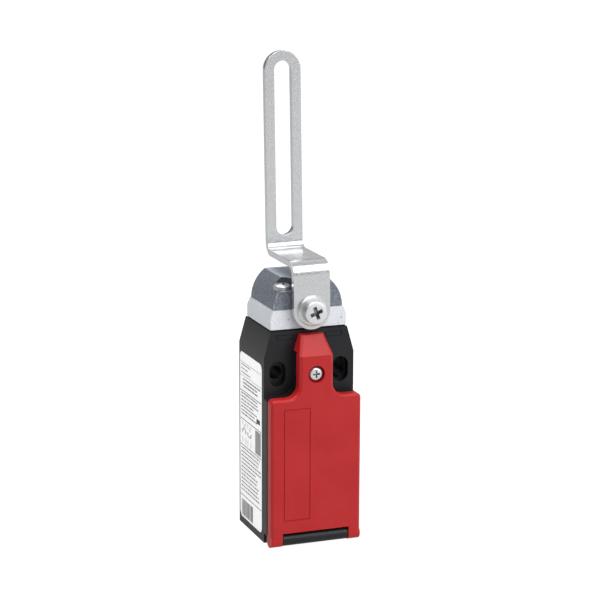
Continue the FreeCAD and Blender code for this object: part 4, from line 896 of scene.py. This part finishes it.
# %% Node tree for copies
def copies_tree(name, inputs):
    """Node tree that sets copies on points, makes them real and gives them a finish.

    inputs are (label, kind) pairs. The caller links what is copied to the node that spreads it.
    Returns the tree, its input node, the node that spreads the copies and its inputs' identifiers.
    """
    tree = bpy.data.node_groups.new(name, "GeometryNodeTree")
    face = tree.interface
    face.new_socket("Points", in_out="INPUT", socket_type="NodeSocketGeometry")
    sockets = {label: face.new_socket(label, in_out="INPUT", socket_type="NodeSocket" + kind).identifier
               for label, kind in [*inputs, ("Finish", "Material")]}
    face.new_socket("Copies", in_out="OUTPUT", socket_type="NodeSocketGeometry")
    given = tree.nodes.new("NodeGroupInput")
    spread = tree.nodes.new("GeometryNodeInstanceOnPoints")
    real = tree.nodes.new("GeometryNodeRealizeInstances")
    paint = tree.nodes.new("GeometryNodeSetMaterial")
    result = tree.nodes.new("NodeGroupOutput")
    tree.links.new(given.outputs["Points"], spread.inputs["Points"])
    tree.links.new(spread.outputs["Instances"], real.inputs["Geometry"])
    tree.links.new(real.outputs["Geometry"], paint.inputs["Geometry"])
    tree.links.new(given.outputs["Finish"], paint.inputs["Material"])
    tree.links.new(paint.outputs["Geometry"], result.inputs["Copies"])
    return tree, given, spread, sockets


def cloud_of(name, points):
    """An object that is nothing but points."""
    mesh = bpy.data.meshes.new(name)
    mesh.from_pydata(points, [], [])
    cloud = bpy.data.objects.new(name, mesh)
    bpy.context.scene.collection.objects.link(cloud)
    return cloud


def grow_copies(cloud, tree, sockets, values):
    """Plain mesh that the tree makes on a cloud; values are the tree's inputs by label."""
    nodes = cloud.modifiers.new("copies", "NODES")
    nodes.node_group = tree
    for label, value in values.items():
        nodes[sockets[label]] = value
    return plain_mesh(cloud, cloud.name)


def screw_tree():
    """Tree for turned copies of one object."""
    tree, given, spread, sockets = copies_tree("repeat on points", [("Form", "Object"), ("Turn", "Rotation")])
    form = tree.nodes.new("GeometryNodeObjectInfo")
    tree.links.new(given.outputs["Form"], form.inputs["Object"])
    tree.links.new(form.outputs["Geometry"], spread.inputs["Instance"])
    tree.links.new(given.outputs["Turn"], spread.inputs["Rotation"])
    return tree, sockets


REPEAT, REPEAT_SOCKETS = screw_tree()
print("inputs of the tree:", ", ".join(REPEAT_SOCKETS))

# %% [markdown]
# With the tree at hand, each set of screws is one row of a table: its head, its shank, the shank's length,
# its cross, the way it faces and the points. A table shows at a glance what the sets have in common.

# %% Repeated screws
REPEATED_SCREWS = {
    "head_screws": (
        (2.75, 2.0, 0.75), (1.3, 1.5, 0.5), 21.0, (2.0, 0.50, 1.5), FACING_UP,
        HEAD_SCREW_PLACES,
    ),
    "terminal_screws": (
        (2.3, 1.9), (1.25, 1.5, 0.5), 6.0, (1.5, 0.34, 1.1), FACING_FRONT,
        [spot(x, -2.5, z) for x in (-9.3, 9.3) for z in (24.4, 40.8)],
    ),
    "block_screws": (
        (2.3, 1.6), (1.0, 1.2, 0.5), 7.3, (1.5, 0.34, 0.95), FACING_FRONT,
        [spot(-9.3, 5.6, 29.3), spot(9.3, 5.6, 35.9)],
    ),
}


def repeat(name, form, points, turn, node):
    values = {"Form": form, "Turn": turn, "Finish": FINISHES[SLOT_OF[node]]}
    made = grow_copies(cloud_of(name, points), REPEAT, REPEAT_SOCKETS, values)
    bpy.data.objects.remove(form)
    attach(made, body_of_node(node))
    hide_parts(node)
    return made


for node, (head, shank, length, cross, turn, points) in REPEATED_SCREWS.items():
    form = screw_form(node + "_form", head, shank, length, cross)
    screws = repeat(node + "_turned", form, points, turn, node)
    print(screws.name, len(screws.data.polygons), "faces")

# %% [markdown]
# Springs are round wire wound on a helix, with the last turn at each end laid flat. A Screw modifier winds
# at one pitch only, so the wire is a grid again, and its rise is even in part and eased in part, which
# closes the ends. The return spring stands on the floor of the contact block and becomes shorter as the
# plunger goes down, so it gets a mesh of its own.

# %% Springs
WIRE_STEPS = 8
TURN_STEPS = 28
EVEN_SHARE = 0.35
SPRING_Y = 3.1
RETURN_FLOOR = 11.5
RETURN_TOP = 19.85


def spring_mesh(work, radius, wire, turns, z0, z1, y):
    """Round wire on a helix between z0 and z1, its end turns closed."""
    count = int(turns * TURN_STEPS)
    rings = []
    for step in range(count + 1):
        part = step / count
        a = 2 * math.pi * turns * part
        eased = part * part * (3 - 2 * part)
        z = z0 + wire / 2 + (z1 - z0 - wire) * (EVEN_SHARE * part + (1 - EVEN_SHARE) * eased)
        ring = []
        for b in circle(WIRE_STEPS):
            reach = radius + wire / 2 * math.cos(b)
            lift = wire / 2 * math.sin(b)
            ring.append(work.verts.new((reach * math.cos(a), y + reach * math.sin(a), z + lift)))
        rings.append(ring)
    join_rings(work, rings)
    work.faces.new(rings[0])
    work.faces.new(list(reversed(rings[-1])))


def place_spring(name, coils, node):
    work = bmesh.new()
    for coil in coils:
        spring_mesh(work, *coil)
    bmesh.ops.recalc_face_normals(work, faces=work.faces)
    made = object_from(work, name)
    made.data.transform(Matrix.Scale(MM, 4))
    smooth(made.data)
    made.data.materials.append(FINISHES[SLOT_OF[node]])
    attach(made, body_of_node(node))
    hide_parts(node)
    print(made.name, len(made.data.polygons), "faces")
    return made


place_spring("contact_springs_wound", [
    (0.95, 0.3, 4.5, 31.05, 33.25, SPRING_Y),
    (0.95, 0.3, 4.5, 34.15, 36.35, SPRING_Y),
], "contact_springs")
return_spring = place_spring("return_spring_wound", [
    (1.6, 0.4, 6.5, RETURN_FLOOR, RETURN_TOP, SPRING_Y),
], "return_spring")
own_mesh(return_spring)

# %% [markdown]
# The label on the left side is the last large surface. Its film sits a hair deeper than the construction
# has it, so that the print above it stays inside the box of the whole. The print could be an image, but
# small plates stay sharp at any distance. Each mark is a point for Geometry Nodes, with a size of its own
# that its plate is stretched to.

# %% Film and plates
LABEL_X = -15.0
FILM_SKIN = 0.1
FILM_DOWN = 0.04
PRINT_RAISE = 0.02
INK_FADE = 1.25
INK_LIFT = 0.02


def lower_film():
    film = welded_copy("rating_label")
    for vertex in film.data.vertices:
        if vertex.co.x < (LABEL_X + FILM_SKIN) * MM:
            vertex.co.x = (LABEL_X + FILM_DOWN) * MM
    smooth(film.data)
    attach(film, "housing")
    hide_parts("rating_label")
    return film


def plate_tree():
    """Tree for small plates, each stretched by its point's own size."""
    tree, given, spread, sockets = copies_tree("plates on points", [])
    plate = tree.nodes.new("GeometryNodeMeshCube")
    plate.inputs["Size"].default_value = (1, 1, 1)
    own = tree.nodes.new("GeometryNodeInputNamedAttribute")
    own.data_type = "FLOAT_VECTOR"
    own.inputs["Name"].default_value = "size"
    tree.links.new(plate.outputs["Mesh"], spread.inputs["Instance"])
    tree.links.new(own.outputs["Attribute"], spread.inputs["Scale"])
    return tree, sockets


PLATES, PLATE_SOCKETS = plate_tree()


def ink(name, colour):
    material, tree, shader = shade(name, colour, 0.5)
    fade = noise(tree, 1400, 2.0)
    light = tuple(min(1.0, part * INK_FADE + INK_LIFT) for part in colour)
    wander(tree, shader, fade.outputs["Fac"], colour, light)
    return material


def print_plates(name, plates, colour):
    """plates are (y, z, width, height) in millimetres on the left side of the body."""
    x = LABEL_X + PRINT_RAISE / 2
    cloud = cloud_of(name, [spot(x, y, z) for y, z, width, height in plates])
    sizes = cloud.data.attributes.new("size", "FLOAT_VECTOR", "POINT")
    for item, (y, z, width, height) in zip(sizes.data, plates):
        item.vector = spot(PRINT_RAISE, width, height)
    made = grow_copies(cloud, PLATES, PLATE_SOCKETS, {"Finish": ink(name + "_ink", colour)})
    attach(made, "housing")
    print(made.name, len(plates), "plates")


print("film:", lower_film().name)

# %% [markdown]
# The print itself is plain: six ruled lines, a contact diagram, a grey panel under a short block, bars, and
# rows of short dashes that stand for small type without saying anything. The dashes and bars come from
# random draws with a fixed seed, so they look irregular and are the same each time.

# %% Print
PRINT_FRONT = -5.9
PRINT_BACK = 13.9
LABEL_SEED = 11
RULES = [(54.4, 0.10), (50.0, 0.10), (44.9, 0.24), (35.5, 0.24), (26.8, 0.24), (9.8, 0.24)]
TEXT_BLOCKS = [
    (48.9, 46.2, 1.15, 0.50, 11.5, -4.4, 0.36), (44.1, 36.6, 1.12, 0.42, 13.2, -3.6, 0.34),
    (25.8, 10.9, 1.28, 0.44, 13.2, -5.2, 0.36), (53.6, 51.0, 1.3, 0.34, 13.2, 4.0, 0.24),
]
ROW_MARGIN = 0.01
RAGGED_END = 6.0
DASH_SHORTEST = 0.5
DASH_LONGEST = 2.3
DIAGRAM_LINE = 0.24
CONTACTS = [(10.4, 32.4), (5.4, 30.9)]
BRIDGE_WIDTH = 2.6
LEAD_AWAY = 1.5
LEADS = [(31.6, 0.6, 1.1), (28.6, DIAGRAM_LINE, 2.0), (34.2, DIAGRAM_LINE, 1.2)]
ACTUATOR_Z = 33.3
ACTUATOR_HEIGHT = 1.4
SHORT_BLOCK = (-3.1, 38.3, 3.2, 1.5)
PANEL = (-2.9, 31.2, 5.2, 7.6)
BARS_BACK = 12.9
BARS_FRONT = 2.2
BARS_Z = 5.7
BARS_HEIGHT = 5.4
BAR_WIDTHS = [0.18, 0.30, 0.46]
BAR_GAPS = [0.16, 0.26, 0.40]


def text_rows(generator):
    """Dashes for blocks of (top, low, step, height, back, front, gap)."""
    dashes = []
    for top, low, step, height, back, front, gap in TEXT_BLOCKS:
        z = top
        while z > low - ROW_MARGIN:
            y = back
            end = front + generator.uniform(0.0, RAGGED_END)
            while y > end:
                length = generator.uniform(DASH_SHORTEST, DASH_LONGEST)
                dashes.append((y - length / 2, z, length, height))
                y -= length + gap
            z -= step
    return dashes


def contact_diagram():
    """Plain switch diagram: two pairs of contacts with their bridges and leads."""
    lines = []
    for middle, bridge_z in CONTACTS:
        lines.append((middle, bridge_z, BRIDGE_WIDTH, DIAGRAM_LINE))
        for side in (-1, 1):
            for z, width, height in LEADS:
                lines.append((middle + side * LEAD_AWAY, z, width, height))
        lines.append((middle, ACTUATOR_Z, DIAGRAM_LINE, ACTUATOR_HEIGHT))
    return lines


def bar_rows(generator):
    bars = []
    y = BARS_BACK
    while y > BARS_FRONT:
        width = generator.choice(BAR_WIDTHS)
        bars.append((y - width / 2, BARS_Z, width, BARS_HEIGHT))
        y -= width + generator.choice(BAR_GAPS)
    return bars


generator = random.Random(LABEL_SEED)
middle_y = (PRINT_FRONT + PRINT_BACK) / 2
rules = [(middle_y, z, PRINT_BACK - PRINT_FRONT, height) for z, height in RULES]
bars = bar_rows(generator)
print_plates("label_rules", rules, (0.06, 0.06, 0.07))
print_plates("label_text", text_rows(generator), (0.22, 0.22, 0.24))
print_plates("label_diagram", contact_diagram() + [SHORT_BLOCK], (0.04, 0.04, 0.045))
print_plates("label_panel", [PANEL], (0.36, 0.36, 0.38))
print_plates("label_bars", bars, (0.10, 0.10, 0.11))

# %% [markdown]
# Seen from below, the conduit entry is the largest opening of the body. Its thread is a helical ridge
# on the wall, made with the same winding grid as the screws, only turned inside out. A Boolean could cut
# a thread into the wall, but it may leave slivers there, and this sleeve leaves the body as it is.

# %% Conduit thread
ENTRY_RADIUS = 9.25
THREAD_CREST = 8.85
ENTRY_PITCH = 1.5
ENTRY_Y = 2.0
ENTRY_LOW = 0.4
ENTRY_HIGH = 8.6
ENTRY_STEPS = 72
ENTRY_ROWS = 6
SLEEVE_IN = 0.01
SLEEVE_OUT = 0.1


def entry_ring_radius(z, turned):
    height = ridge(z, ENTRY_PITCH, turned)
    ends = min(1.0, (z - ENTRY_LOW) / ENTRY_PITCH, (ENTRY_HIGH - z) / ENTRY_PITCH)
    return ENTRY_RADIUS - SLEEVE_IN - (ENTRY_RADIUS - THREAD_CREST) * height * max(0.0, ends)


def make_entry_thread():
    work = bmesh.new()
    rows = round((ENTRY_HIGH - ENTRY_LOW) / ENTRY_PITCH * ENTRY_ROWS)
    inner = []
    for row in range(rows + 1):
        z = ENTRY_LOW + (ENTRY_HIGH - ENTRY_LOW) * row / rows
        ring = []
        for step, a in enumerate(circle(ENTRY_STEPS)):
            radius = entry_ring_radius(z, step / ENTRY_STEPS)
            ring.append(work.verts.new((radius * math.cos(a), ENTRY_Y + radius * math.sin(a), z)))
        inner.append(ring)
    reach = ENTRY_RADIUS + SLEEVE_OUT
    around = [(reach * math.cos(a), ENTRY_Y + reach * math.sin(a)) for a in circle(ENTRY_STEPS)]
    low, high = ([work.verts.new((x, y, z)) for x, y in around] for z in (ENTRY_LOW, ENTRY_HIGH))
    join_rings(work, [low, *inner, high, low])
    bmesh.ops.recalc_face_normals(work, faces=work.faces)
    made = object_from(work, "conduit_thread")
    made.data.transform(Matrix.Scale(MM, 4))
    smooth(made.data)
    made.data.materials.append(FINISHES["black_plastic"])
    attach(made, "housing")
    return made


entry_thread = make_entry_thread()
print(entry_thread.name, len(entry_thread.data.polygons), "faces")
